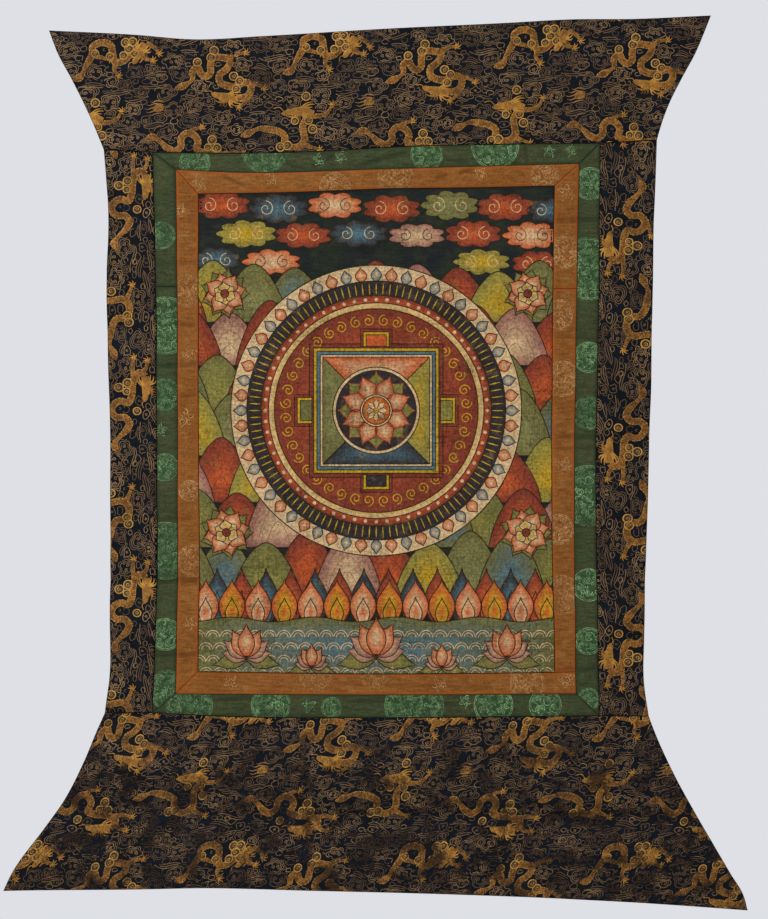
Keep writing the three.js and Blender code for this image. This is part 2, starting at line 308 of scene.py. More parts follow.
CREASES = [  # from x and z, to x and z, depth, half width: the sharper lines of a rolled scroll
    (-176, -14, -172, -142, -1.2, 3.8),
    (120, -6, 126, -120, -0.4, 3.5),
    (-84, -168, -52, -150, -1.4, 3.0),
    (-32, -167, 38, -145, -1.4, 3.2),
    (76, -157, 110, -160, -1.2, 2.8),
    (134, -159, 170, -161, -1.2, 2.8),
    (174, -138, 177, -164, -1.2, 3.0),
    (92, -175, 116, -166, -1.4, 2.6),
    (66, -180, 82, -175, -1.4, 2.6),
    (-118, -160, -84, -170, -1.2, 2.6),
    (-190, -176, -160, -190, -1.2, 2.8),
    (-280, -283, -214, -281, -1.0, 3.2),
    (-280, -352, -216, -356, -1.2, 3.8),
    (-282, -405, -190, -402, -1.4, 3.5),
    (-280, -443, -214, -440, -1.0, 3.0),
    (-330, -520, -214, -524, 0.7, 4.0),
    (-282, -589, -214, -587, -1.0, 3.2),
    (-330, -664, -196, -661, -1.5, 3.8),
    (-280, -676, -210, -673, 1.0, 3.2),
    (-282, -752, -200, -750, -1.2, 3.5),
    (196, -231, 330, -226, -1.2, 3.8),
    (204, -368, 268, -372, -0.8, 3.2),
    (206, -490, 330, -487, -1.2, 3.5),
    (206, -504, 270, -503, -1.0, 3.0),
    (192, -596, 322, -594, -1.4, 3.8),
    (200, -700, 318, -704, 1.0, 4.2),
    (190, -770, 266, -768, -1.2, 3.5),
    (-216, -806, -106, -800, -1.2, 3.0),
    (-44, -805, 110, -811, -1.2, 3.2),
    (-60, -786, 150, -790, -0.8, 3.0),
    (-150, -786, -70, -783, 0.7, 3.0),
    (-210, -262, 60, -266, -0.7, 7.0),
    (-60, -318, 205, -312, -0.7, 7.0),
    (-214, -372, 120, -370, -0.7, 7.0),
    (-120, -438, 206, -444, -0.7, 7.0),
    (-214, -512, 90, -508, -0.7, 7.0),
    (-40, -566, 206, -560, -0.7, 7.0),
    (-212, -628, 150, -634, -0.7, 7.0),
    (-180, -716, 204, -712, -0.7, 7.0),
    (-350, -872, 60, -868, -0.7, 4.0),
    (-390, -924, 300, -922, 0.8, 4.5),
    (-120, -940, 400, -944, -1.0, 4.0),
    (-410, -968, 120, -972, -0.8, 4.5),
    (60, -986, 420, -992, 0.7, 4.0),
    (-300, -1010, -40, -1006, -0.5, 4.0),
]
print("folds:", len(FOLDS), "creases:", len(CREASES))

# %% The hang of the cloth


def soft_step(value, low, high):
    t = np.clip((value - low) / (high - low), 0.0, 1.0)
    return t * t * (3.0 - 2.0 * t)


def hang(x, z):
    """How far the middle of the cloth stands towards the viewer at x, z."""
    across = x / HALF_WAIST
    outward = np.abs(x)
    relief = BELLY * np.sin(-np.pi * z / BELLY_LENGTH)
    for height, climb, depth, half, left, right in FOLDS:
        offset = (z - height - climb * across) / half
        share = left + (right - left) * soft_step(across, -1.0, 1.0)
        relief = relief + depth * share * np.exp(-offset * offset)
    relief = relief - EDGE_CUP * soft_step(outward, CUP_FROM, HALF_WAIST)
    curl = np.where(x < 0, CURL_LEFT, CURL_RIGHT)
    reach = np.maximum(0.0, outward - CURL_FROM_X) / CURL_REACH
    relief = relief + curl * reach**2 * soft_step(-z, CURL_TOP, CURL_FULL)
    return relief * soft_step(-z, FLAT_HEM, LOOSE_FROM)


def creases(x, z):
    """The finer creases: soft troughs and ridges that fade at both ends."""
    relief = np.zeros(np.shape(x))
    for x0, z0, x1, z1, depth, half in CREASES:
        length = math.hypot(x1 - x0, z1 - z0)
        east, north = (x1 - x0) / length, (z1 - z0) / length
        along = ((x - x0) * east + (z - z0) * north) / length
        offset = ((z - z0) * east - (x - x0) * north) / half
        ends = soft_step(along, -0.1, 0.2) * (1.0 - soft_step(along, 0.8, 1.1))
        relief = relief + depth * ends * np.exp(-offset * offset)
    return relief


def creased(x, z):
    """The folds and the creases together."""
    return hang(x, z) + creases(x, z)


print("belly stands", round(float(hang(np.array(0.0), np.array(-530.0))), 1), "mm proud")

# %% [markdown]
# ## Edges and seams
# Nothing on a hand-sewn scroll is quite straight. Every cut edge and seam runs between two named
# corners, through the few points that its shape needs, and a smooth curve joins them. A piece is
# then named by the lines along its four sides.

# %% Corners and lines
CORNERS = {
    "hem_top_left": (-397.2, -1.8),
    "hem_top_right": (397.2, 16.2),
    "hem_bottom_left": (-450, -1032),
    "hem_bottom_right": (442.8, -1059.6),
    "shoulder_top_left": (-331.5, -145),
    "shoulder_top_right": (332.4, -133.2),
    "shoulder_bottom_left": (-330.5, -821),
    "shoulder_bottom_right": (322.5, -824.6),
    "green_top_left": (-272.4, -148.2),
    "green_top_right": (264, -137.3),
    "green_bottom_left": (-273, -820.2),
    "green_bottom_right": (262.8, -823.8),
    "green_join_outer": (-268.6, -309.6),
    "green_join_inner": (-243, -309.6),
    "tan_top_left": (-244.8, -169),
    "tan_top_right": (238.8, -162),
    "tan_bottom_left": (-245.2, -797.6),
    "tan_bottom_right": (235.2, -797.2),
    "tan_join_outer": (235.8, -312),
    "tan_join_inner": (207.2, -312),
    "tan_butt": (234.6, -771.4),
    "canvas_top_left": (-217.8, -198.4),
    "canvas_top_right": (209.3, -188.4),
    "canvas_bottom_left": (-218.4, -771.1),
    "canvas_bottom_right": (209.6, -772.1),
}
LINES = {  # first corner, points between, last corner
    "top_edge": ("hem_top_left", [
        (-293, -7), (-225, -12.4), (-139, -8.4), (0, 0), (149, 7.2), (235, 11.7), (300, 12)
    ], "hem_top_right"),
    "bottom_edge": ("hem_bottom_left", [
        (-312, -1033), (-216, -1030.8), (-82, -1034), (72, -1038), (226, -1044), (379, -1054)
    ], "hem_bottom_right"),
    "flare_top_left": ("hem_top_left", [
        (-386.4, -30), (-370.8, -58.8), (-356.4, -87.6), (-343.2, -116.4)
    ], "shoulder_top_left"),
    "flare_top_right": ("hem_top_right", [
        (378, -30), (362.4, -58.8), (348, -87.6), (337.2, -116.4)
    ], "shoulder_top_right"),
    "waist_left": ("shoulder_top_left", [
        (-326.6, -205), (-328, -325), (-324, -469), (-324, -685), (-325.2, -781)
    ], "shoulder_bottom_left"),
    "waist_right": ("shoulder_top_right", [
        (329, -229), (325.2, -421), (320.4, -589), (316.8, -733), (317.4, -790)
    ], "shoulder_bottom_right"),
    "flare_bottom_left": ("shoulder_bottom_left", [
        (-339.6, -841), (-355.2, -879.6), (-380.4, -927.6), (-400.8, -956.4), (-441.6, -1014)
    ], "hem_bottom_left"),
    "flare_bottom_right": ("shoulder_bottom_right", [
        (328.8, -841), (355.2, -899), (387.6, -956.4), (421.2, -1014), (437.5, -1041)
    ], "hem_bottom_right"),
    "seam_top_left": ("shoulder_top_left", [], "green_top_left"),
    "seam_top_right": ("green_top_right", [], "shoulder_top_right"),
    "seam_bottom_left": ("shoulder_bottom_left", [], "green_bottom_left"),
    "seam_bottom_right": ("green_bottom_right", [], "shoulder_bottom_right"),
    "green_top": ("green_top_left", [
        (-180, -149.4), (-72, -147.1), (24, -141.6), (144, -138.7)
    ], "green_top_right"),
    "green_bottom": ("green_bottom_left", [
        (-192, -824.4), (4.8, -826.2), (144, -825)
    ], "green_bottom_right"),
    "green_left_upper": ("green_top_left", [], "green_join_outer"),
    "green_left_lower": ("green_join_outer", [(-267.8, -445), (-267.8, -685)], "green_bottom_left"),
    "green_right": ("green_top_right", [
        (262.2, -325), (258.6, -565), (260.4, -685)
    ], "green_bottom_right"),
    "green_join": ("green_join_outer", [], "green_join_inner"),
    "green_mitre_top_left": ("green_top_left", [], "tan_top_left"),
    "green_mitre_top_right": ("green_top_right", [], "tan_top_right"),
    "green_mitre_bottom_left": ("tan_bottom_left", [], "green_bottom_left"),
    "green_mitre_bottom_right": ("tan_bottom_right", [], "green_bottom_right"),
    "tan_top": ("tan_top_left", [(-180, -172.3), (4.8, -168.4), (120, -165)], "tan_top_right"),
    "tan_bottom": ("tan_bottom_left", [(60, -798.6)], "tan_bottom_right"),
    "tan_left_upper": ("tan_top_left", [], "green_join_inner"),
    "tan_left_lower": ("green_join_inner", [(-242.4, -565), (-242.8, -685)], "tan_bottom_left"),
    "tan_right_upper": ("tan_top_right", [], "tan_join_outer"),
    "tan_right_lower": ("tan_join_outer", [(232.8, -580)], "tan_butt"),
    "tan_right_end": ("tan_butt", [], "tan_bottom_right"),
    "tan_join": ("tan_join_inner", [], "tan_join_outer"),
    "tan_butt_seam": ("canvas_bottom_right", [], "tan_butt"),
    "tan_mitre_top_left": ("tan_top_left", [], "canvas_top_left"),
    "tan_mitre_top_right": ("tan_top_right", [], "canvas_top_right"),
    "tan_mitre_bottom_left": ("canvas_bottom_left", [], "tan_bottom_left"),
    "canvas_top": ("canvas_top_left", [
        (-96, -196), (4.8, -192), (120, -190.4)
    ], "canvas_top_right"),
    "canvas_bottom": ("canvas_bottom_left", [(0, -773.8)], "canvas_bottom_right"),
    "canvas_left": ("canvas_top_left", [(-217.8, -445), (-216.8, -685)], "canvas_bottom_left"),
    "canvas_right_upper": ("canvas_top_right", [], "tan_join_inner"),
    "canvas_right_lower": ("tan_join_inner", [(206, -580)], "canvas_bottom_right"),
}
print("corners:", len(CORNERS), "lines:", len(LINES))

# %% Pieces between the lines
CUTS = {  # top, bottom, left and right lines of each piece; a minus runs a line backwards
    "painted_canvas": (
        "canvas_top", "canvas_bottom", "canvas_left", "canvas_right_upper canvas_right_lower",
    ),
    "tan_top": ("tan_top", "canvas_top", "tan_mitre_top_left", "tan_mitre_top_right"),
    "tan_bottom": (
        "canvas_bottom tan_butt_seam", "tan_bottom", "tan_mitre_bottom_left", "tan_right_end",
    ),
    "tan_left": (
        "tan_mitre_top_left", "-tan_mitre_bottom_left",
        "tan_left_upper tan_left_lower", "canvas_left",
    ),
    "tan_right_upper": (
        "-tan_mitre_top_right", "tan_join", "canvas_right_upper", "tan_right_upper",
    ),
    "tan_right_lower": ("tan_join", "tan_butt_seam", "canvas_right_lower", "tan_right_lower"),
    "green_top": ("green_top", "tan_top", "green_mitre_top_left", "green_mitre_top_right"),
    "green_bottom": (
        "tan_bottom", "green_bottom", "green_mitre_bottom_left", "green_mitre_bottom_right",
    ),
    "green_left_upper": (
        "green_mitre_top_left", "green_join", "green_left_upper", "tan_left_upper",
    ),
    "green_left_lower": (
        "green_join", "-green_mitre_bottom_left", "green_left_lower", "tan_left_lower",
    ),
    "green_right": (
        "-green_mitre_top_right", "green_mitre_bottom_right",
        "tan_right_upper tan_right_lower tan_right_end", "green_right",
    ),
    "brocade_top": (
        "top_edge", "seam_top_left green_top seam_top_right", "flare_top_left", "flare_top_right",
    ),
    "brocade_bottom": (
        "seam_bottom_left green_bottom seam_bottom_right", "bottom_edge",
        "flare_bottom_left", "flare_bottom_right",
    ),
    "brocade_left": (
        "seam_top_left", "seam_bottom_left", "waist_left", "green_left_upper green_left_lower",
    ),
    "brocade_right": ("seam_top_right", "seam_bottom_right", "green_right", "waist_right"),
}
print("pieces:", ", ".join(CUTS))

# %% [markdown]
# ## A piece of cloth as a patch
# With its four sides known, a piece is a Coons patch: the two pairs of opposite sides are blended,
# and what both pairs share is taken off once. The same object answers what the patterns need
# later: how far a point is from the nearest edge, and where the front of the cloth is there. Along
# seams the front rolls down into the stitching and puckers a little.

# %% Smooth paths
PATH_STEP = 2.0


def step_lengths(path):
    return np.linalg.norm(np.diff(path, axis=0), axis=1)


def run_along(path):
    """How far along a path each of its points is."""
    return np.concatenate([[0.0], np.cumsum(step_lengths(path))])


def smooth_path(points, step=PATH_STEP):
    """A smooth curve through points, as evenly spaced points about one step apart."""
    points = np.asarray(points, float)
    chord = run_along(points)
    slopes = np.gradient(points, chord, axis=0)
    place = np.linspace(0.0, chord[-1], max(2, int(round(chord[-1] / step)) + 1))
    k = np.clip(np.searchsorted(chord, place, side="right") - 1, 0, len(points) - 2)
    span = (chord[k + 1] - chord[k])[:, None]
    t = (place - chord[k])[:, None] / span
    return (
        (1 + 2 * t) * (1 - t) ** 2 * points[k]
        + t * (1 - t) ** 2 * span * slopes[k]
        + t**2 * (3 - 2 * t) * points[k + 1]
        + t**2 * (t - 1) * span * slopes[k + 1]
    )


def side_path(labels):
    """The lines of one side, end to end."""
    runs = []
    for label in labels.split():
        first, between, last = LINES[label.lstrip("-")]
        run = smooth_path([CORNERS[first], *between, CORNERS[last]])
        runs.append(run[::-1] if label.startswith("-") else run)
    return np.concatenate([runs[0]] + [run[1:] for run in runs[1:]])


print("top edge, in mm:", round(run_along(side_path("top_edge"))[-1]))

# %% Patches
SEAM_ROLL = 0.75
SEAM_REACH = 2.6
PUCKER = 0.16
PUCKER_REACH = 7.0
PUCKER_PITCH = 11.0
THICKNESS = {"painted_canvas": 1.4, "tan": 1.6, "green": 1.6, "brocade": 2.0}


class Patch:
    """One sewn piece: its four sides, its front, and the distance to its edges."""

    def __init__(self, name):
        self.name = name
        self.thick = next(t for cloth, t in THICKNESS.items() if name.startswith(cloth))
        self.top, self.bottom, self.left, self.right = (side_path(s) for s in CUTS[name])

    def along(self, side, share):
        place = run_along(side)
        return np.stack([np.interp(share * place[-1], place, side[:, i]) for i in (0, 1)], axis=-1)

    def grid(self, u, v):
        """Points of the patch for shares u to the right and v downwards."""
        u, v = np.meshgrid(u, v)
        top, bottom = self.along(self.top, u), self.along(self.bottom, u)
        left, right = self.along(self.left, v), self.along(self.right, v)
        u, v = u[..., None], v[..., None]
        upper = (1 - u) * self.top[0] + u * self.top[-1]
        lower = (1 - u) * self.bottom[0] + u * self.bottom[-1]
        sides = (1 - v) * top + v * bottom + (1 - u) * left + u * right
        return sides - (1 - v) * upper - v * lower

    def limits(self, x, z):
        """The piece's left, right, bottom and top at a height or a width."""

        def read(side, key, value, at):
            order = np.argsort(side[:, key])
            return np.interp(at, side[order, key], side[order, value])

        return (
            read(self.left, 1, 0, z),
            read(self.right, 1, 0, z),
            read(self.bottom, 0, 1, x),
            read(self.top, 0, 1, x),
        )

    def edge(self, x, z):
        left, right, bottom, top = self.limits(x, z)
        return np.minimum(np.minimum(x - left, right - x), np.minimum(z - bottom, top - z))

    def front(self, x, z):
        """How far the front of the cloth stands towards the viewer."""
        edge = np.maximum(self.edge(x, z), 0.0)
        roll = SEAM_ROLL * (1.0 - soft_step(edge, 0.0, SEAM_REACH))
        waves = np.sin(x * 2 * np.pi / PUCKER_PITCH) + np.sin(z * 2 * np.pi / (PUCKER_PITCH * 1.13))
        pucker = PUCKER * np.exp(-edge / PUCKER_REACH) * waves * (edge > 0)
        return creased(x, z) + self.thick / 2 - roll + pucker

    def clamp(self, x, z, margin=0.6):
        """Points drawn in to the piece's own outline."""
        left, right, bottom, top = self.limits(x, z)
        return np.clip(x, left + margin, right - margin), np.clip(z, bottom + margin, top - margin)

    def flat_size(self):
        """Width and length of the flat cut: the longer of each pair of opposite sides."""
        pairs = ((self.top, self.bottom), (self.left, self.right))
        return [max(float(step_lengths(side).sum()) for side in pair) for pair in pairs]

    def area(self):
        loop = np.concatenate([self.bottom, self.right[::-1], self.top[::-1], self.left])
        x, z = loop[:, 0], loop[:, 1]
        return 0.5 * abs(float(np.sum(x * np.roll(z, -1) - np.roll(x, -1) * z)))


PATCHES = {name: Patch(name) for name in CUTS}
print("flat areas in square metres:", {n: round(p.area() * 1e-6, 4) for n, p in PATCHES.items()})

# %% [markdown]
# ## Cloth sheets
# A sheet is a closed skin: the front of the patch, its back, and a rim between them. Rows and
# columns crowd at the edges, where the roll into the seam is tight. Three attributes go with the
# points, for the finishes: the distance to the edge, the depth of the trough, which the finish
# darkens as painted shade in the creases, and whether the point is on the back.

# %% Meshes and sheets
WIDE_STEPS, STRIP_STEPS = (5.2, 3.4), (3.0, 2.6)
STRIP_WIDTH = 60.0
EDGE_LINES = (0.0, 0.5, 1.2, 2.2, 3.6)


def mesh_object(name, points, faces, finish, attributes=None):
    """A smooth mesh object from arrays, in millimetres, with number attributes per point."""
    mesh = bpy.data.meshes.new(name)
    mesh.from_pydata((np.asarray(points) * MM).tolist(), [], np.asarray(faces).tolist())
    for key, values in (attributes or {}).items():
        values = np.asarray(values, np.float32)
        if values.ndim == 2:
            layer = mesh.attributes.new(key, "FLOAT_COLOR", "POINT")
            layer.data.foreach_set("color", values.ravel())
        else:
            layer = mesh.attributes.new(key, "FLOAT", "POINT")
            layer.data.foreach_set("value", values)
    mesh.shade_smooth()
    mesh.materials.append(finish.material)
    piece = bpy.data.objects.new(name, mesh)
    bpy.context.collection.objects.link(piece)
    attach(piece, "root")
    return piece


def shares(length, step):
    """Shares of a length, crowded at both ends."""
    inner = EDGE_LINES[-1]
    count = max(2, int(round((length - 2 * inner) / step)))
    middle = np.linspace(inner, length - inner, count + 1)
    ends = np.array(EDGE_LINES[:-1])
    return np.concatenate([ends, middle, length - ends[::-1]]) / length


def make_sheet(name, finish):
    """The closed skin of one piece, in the place of its solid."""
    patch = PATCHES[name]
    width, height = patch.flat_size()
    across, down = STRIP_STEPS if min(width, height) < STRIP_WIDTH else WIDE_STEPS
    u, v = shares(width, across), shares(height, down)
    flat = patch.grid(u, v)
    x, z = flat[..., 0].ravel(), flat[..., 1].ravel()
    front = np.stack([x, -patch.front(x, z), z], axis=1)
    back = np.stack([x, patch.thick / 2 - creased(x, z), z], axis=1)
    rows, columns = len(v), len(u)
    index = np.arange(rows * columns).reshape(rows, columns)
    a, b = index[:-1, :-1].ravel(), index[:-1, 1:].ravel()
    c, d = index[1:, 1:].ravel(), index[1:, :-1].ravel()
    shift = rows * columns
    loop = np.concatenate([index[-1, :-1], index[:0:-1, -1], index[0, :0:-1], index[:-1, 0]])
    follow = np.roll(loop, -1)
    faces = np.concatenate(
        [
            np.stack([a, d, c, b], axis=1),
            np.stack([a, b, c, d], axis=1) + shift,
            np.stack([loop, loop + shift, follow + shift, follow], axis=1),
        ]
    )
    edge = np.maximum(patch.edge(x, z), 0.0)
    attributes = {
        "edge": np.concatenate([edge, edge]),
        "trough": np.tile(np.maximum(-creases(x, z), 0.0), 2),
        "back": np.concatenate([np.zeros(shift), np.ones(shift)]),
    }
    piece = mesh_object(name + "_sheet", np.concatenate([front, back]), faces, finish, attributes)
    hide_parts(name)
    return piece


print("sheet steps across and down, in mm:", WIDE_STEPS, "and in strips", STRIP_STEPS)

# %% [markdown]
# ## Plain grounds of the cloths
# The brocade's ground is a near-black navy satin, worn brown in places. The damasks are dyed silk
# with a rib. The canvas is primed cotton under matt paint. All four get a weave as bump, uneven
# dye as slow noise, and slubs in the thread. The back is plainer, and shows the line of stitches
# that holds the seam allowance down.

# %% Finish of a plain cloth
SEAM_ALLOWANCE = 9.0
STITCH_LENGTH = 6.0 * MM
STITCH_HALF = 0.9


def weave(finish, pitch_mm):
    """Threads over and under, about one pitch apart: 0 in the gaps, 1 on the threads."""
    turns = 2 * math.pi / (pitch_mm * MM)
    warp = (finish.along("X") * turns).sin()
    weft = (finish.along("Z") * turns).sin()
    return (warp * weft) * 0.5 + 0.5


def cloth_finish(name, tones, back, rim, pitch, roughness, slub):
    """Dyed cloth: ground, shade and stain in slow noise, slubs, a tinted rim and a plain back."""
    ground, shade, stain = (rgb(code) for code in tones.split())
    back, rim = rgb(back), rgb(rim)
    finish = Finish(name, Roughness=roughness, Specular_IOR_Level=0.06)
    dye = finish.noise(40.0, detail=5.0).rise(0.35, 0.65)
    weft = finish.noise(2.6, detail=2.0, stretch=(8.0, 1.0, 1.0)).rise(0.3, 0.7)
    warp = finish.noise(2.6, detail=2.0, stretch=(1.0, 1.0, 8.0)).rise(0.3, 0.7)
    colour = finish.blend(dye * 0.6 + weft * 0.25 + warp * 0.15, ground, shade)
    blots = finish.noise(17.0, detail=4.0).rise(0.5, 0.72)
    colour = finish.blend(blots * 0.6, colour, stain)
    edge, behind = finish.attribute("edge"), finish.attribute("back")
    reverse = finish.blend(dye * 0.45 + blots * 0.4, back, tuple(0.5 * c for c in back))
    run = finish.along("X") + finish.along("Z")
    tacks = (run * (2 * math.pi / STITCH_LENGTH)).sin().rise(-0.2, 0.2)
    tacks = tacks * (1 - ((edge - SEAM_ALLOWANCE).size() / STITCH_HALF).math("MINIMUM", 1.0))
    reverse = finish.blend(tacks * 0.7, reverse, tuple(0.3 * c for c in back))
    colour = finish.blend(behind, colour, reverse)
    threads = weave(finish, pitch)
    colour = finish.blend(threads * 0.2, colour, (0.0, 0.0, 0.0))
    grain = finish.noise(2.2, detail=3.0).rise(0.28, 0.72)
    slubs = finish.noise(2.0, detail=3.0, stretch=(7.0, 1.0, 1.0)).rise(0.3, 0.7)
    colour = finish.blend(1.0, colour, 1 - slub + slub * (grain + slubs), "MULTIPLY")
    # Painted shade in the creases: the deeper the trough, the darker the cloth, broken up by the
    # grain.
    crease_shade = finish.attribute("trough").rise(0.15, 1.3) * grain.rise(-0.6, 0.8)
    colour = finish.blend(crease_shade * 0.55, colour, tuple(0.3 * c for c in shade))
    colour = finish.blend((1 - edge.rise(0.8, 5.0)) * (1 - behind) * 0.6, colour, rim)
    # Painted shade: a thin dark line along every edge and seam, where the front rolls under.
    colour = finish.blend((1 - edge.rise(0.0, 0.9)) * 0.8, colour, tuple(0.12 * c for c in shade))
    finish.paint(Base_Color=colour)
    crumple = finish.noise(7.0, detail=5.0)
    finish.bump(threads * 0.3 + crumple, 0.4, 0.7)
    return finish


print("stitches on the back every", STITCH_LENGTH / MM, "mm")

# %% The four cloths and their sheets
CLOTHS = {  # finish, tones, back, rim, thread pitch, roughness, strength of the slubs
    "brocade": ("brocade_ground", "111318 141b24 1e1812", "4a3c2e", "0b0b0d", 0.7, 0.6, 0.4),
    "green": ("green_silk", "4b4f32 3e462c 3e5434", "56604a", "2b3a26", 0.6, 0.5, 0.42),
    "tan": ("tan_silk", "98602c 865122 9e6c37", "9a6c40", "a4541d", 0.6, 0.5, 0.38),
    "painted_canvas": (
        "primed_canvas", "22252a 2c3328 3a3a2a", "c4aa84", "1c1a18", 0.9, 0.85, 0.3,
    ),
}
GROUNDS = {cloth: cloth_finish(*row) for cloth, row in CLOTHS.items()}


def kind_of(name):
    return next(cloth for cloth in GROUNDS if name.startswith(cloth))


SHEETS = {}
for name in CUTS:
    SHEETS[name] = make_sheet(name, GROUNDS[kind_of(name)])
print("sheets:", {n: len(s.data.polygons) for n, s in SHEETS.items()})

# %% [markdown]
# ## Threads as ribbons
# Gold brocade is woven with flat gilt strips that lie on top of the ground. Here a figure is drawn
# as strokes on a flat plan, `u` to the right and `v` down, each stroke a ribbon with a slightly
# raised middle. The plan is laid on the cloth later. Filled fields are for paint: rings drawn in
# towards a centre, so that they bend with the folds.

# %% Strokes and fields on a flat plan
FIELD_STEP = 3.4
FIELD_STRETCH = 2.2
SUNK = -0.05


def fine_loop(outline, step):
    """A closed outline with more points, most where it runs up and down across the folds."""
    outline = np.asarray(outline, float)
    runs = []
    for first, second in zip(outline, np.roll(outline, -1, axis=0)):
        across, down = np.abs(second - first)
        count = max(1, math.ceil(max(across / FIELD_STRETCH, down) / step))
        runs.append(np.linspace(first, second, count, endpoint=False))
    return np.concatenate(runs)


class Motif:
    """Strokes and fields on a flat plan, with a lift above the cloth and a tone."""

    def __init__(self):
        self.plans, self.lifts, self.tones, self.runs, self.faces = [], [], [], [], []
        self.starts = []
        self.count = 0

    def keep(self, plan, lift, tone, run, index, closed=False):
        """Store a sheet of points, index rows by columns, as quads."""
        right = np.roll(index, -1, axis=1) if closed else index[:, 1:]
        left = index if closed else index[:, :-1]
        quads = np.stack([left[:-1], right[:-1], right[1:], left[1:]], axis=-1).reshape(-1, 4)
        self.plans.append(plan.reshape(-1, 2))
        self.lifts.append(lift.ravel())
        self.tones.append(tone)
        self.runs.append(run.reshape(-1, 2))
        self.faces.append(quads + self.count)
        self.starts.append(self.count)
        self.count += index.size

    def stroke(self, path, half, tone, lift, sides=3):
        path = np.asarray(path, float)
        heading = np.gradient(path, axis=0)
        heading /= np.linalg.norm(heading, axis=1, keepdims=True) + 1e-9
        normal = np.stack([-heading[:, 1], heading[:, 0]], axis=1)
        half = np.broadcast_to(np.asarray(half, float), len(path))
        across = np.linspace(-1.0, 1.0, sides)
        reach = half[:, None] * across
        plan = path[:, None] + reach[..., None] * normal[:, None]
        crown = SUNK + (lift - SUNK) * (1.0 - across**2) if sides > 2 else np.full(2, lift)
        runs = np.stack(np.broadcast_arrays(run_along(path)[:, None], across), axis=-1)
        lifts = np.broadcast_to(crown, plan.shape[:2])
        tones = np.tile(np.atleast_1d(np.asarray(tone, float)), (lifts.size, 1))
        index = np.arange(lifts.size).reshape(lifts.shape)
        self.keep(plan, lifts, tones, runs, index)

    def disc(self, centre, radius, tone, lift, steps=9):
        side = np.linspace(-1.0, 1.0, steps)
        path = np.stack([centre[0] + radius * side, np.full(steps, centre[1])], axis=1)
        self.stroke(path, radius * np.sqrt(1.0 - side**2) + 0.02, tone, lift)

    def field(self, outline, centre, inner, outer, lift, hole=0.0):
        """Paint inside an outline, from one tone in the middle to another at the rim."""
        outline, centre = fine_loop(outline, FIELD_STEP), np.asarray(centre, float)
        reach = np.abs(outline - centre).max(axis=0)
        reach = max(reach[0] / FIELD_STRETCH, reach[1])
        rings = max(2, int(reach * (1.0 - hole) / FIELD_STEP) + 1)
        share = np.linspace(max(hole, 0.02), 1.0, rings + 1)
        plan = centre + share[:, None, None] * (outline - centre)
        index = np.arange(plan.shape[0] * plan.shape[1]).reshape(plan.shape[:2])
        blend = ((share - share[0]) / (1.0 - share[0]))[:, None, None]
        tones = np.asarray(inner) * (1.0 - blend) + np.asarray(outer) * blend
        tones = np.broadcast_to(tones, (*index.shape, tones.shape[-1]))
        flat = np.full(index.shape, lift)
        runs = np.zeros((*index.shape, 2))
        self.keep(plan, flat, tones.reshape(index.size, -1), runs, index, closed=True)

    def lean(self, first, foot, slope):
        """Tilt the parts since the first like shingles, each highest at its top."""
        for part in range(first, len(self.lifts)):
            self.lifts[part] = self.lifts[part] + slope * (self.plans[part][:, 1] - foot)

    def open_round(self, first, centre, radius):
        """Drop the faces of the parts since the first that lie wholly inside a circle."""
        for part in range(first, len(self.faces)):
            outside = np.hypot(*(self.plans[part] - centre).T) > radius
            corners = outside[self.faces[part] - self.starts[part]]
            self.faces[part] = self.faces[part][corners.any(axis=1)]

    def joined(self):
        parts = (self.plans, self.lifts, self.tones, self.runs, self.faces)
        return [np.concatenate(part) for part in parts]


print("fields of paint have a point every", FIELD_STEP, "mm down")

# %% Curls, and a plan laid on the cloth
SLIVER = 0.01


def polar(centre, reach, angle):
    """The point at a distance and an angle from a centre, or many such points."""
    return np.stack([centre[0] + reach * np.cos(angle), centre[1] + reach * np.sin(angle)], axis=-1)


def spiral(centre, radius, turns, start, inner=0.18):
    """A curl that winds in from its rim; a negative number of turns winds the other way."""
    t = np.linspace(0.0, 1.0, max(10, int(abs(turns) * radius * 3.2)))
    angle = start + turns * 2 * np.pi * t
    return polar(centre, radius * (1.0 - (1.0 - inner) * t), angle)


def as_drawn(plan, patch):
    """For a plan that is drawn in the cloth's own x and z."""
    return [plan.T]


def laid(motif, patch, place, name, finish, tone_name):
    """One mesh of a motif on the front of a patch; place maps the plan to x and z, once or more."""
    plan, lift, tone, run, faces = motif.joined()
    points, kept_faces, tones, runs = [], [], [], []
    count = 0
    for x, z in place(plan, patch):
        inside = patch.edge(x, z) > 0.0
        used = faces[inside[faces].any(axis=1)]
        if not len(used):
            continue
        ids, used = np.unique(used, return_inverse=True)
        used = used.reshape(-1, 4)
        x, z = patch.clamp(x[ids], z[ids])
        x, z = patch.clamp(x, z)  # again, since the outline is another one at the new place
        corners = np.stack([x, z], axis=1)[used]
        first, second = corners[:, 2] - corners[:, 0], corners[:, 3] - corners[:, 1]
        broad = np.abs(first[:, 0] * second[:, 1] - first[:, 1] * second[:, 0]) > SLIVER
        points.append(np.stack([x, -patch.front(x, z) - lift[ids], z], axis=1))
        kept_faces.append(used[broad] + count)
        tones.append(tone[ids])
        runs.append(run[ids])
        count += len(ids)
    points, tones = np.concatenate(points), np.concatenate(tones)
    faces, runs = np.concatenate(kept_faces), np.concatenate(runs)
    ids, faces = np.unique(faces, return_inverse=True)
    points, tones, runs = points[ids], tones[ids], runs[ids]
    attributes = {"along": runs[:, 0], "across": runs[:, 1]}
    attributes[tone_name] = tones[:, 0] if tones.shape[1] == 1 else tones
    return mesh_object(name, points, faces.reshape(-1, 4), finish, attributes)


print("points in a curl of 5 mm:", len(spiral((0.0, 0.0), 5.0, 1.2, 0.0)))

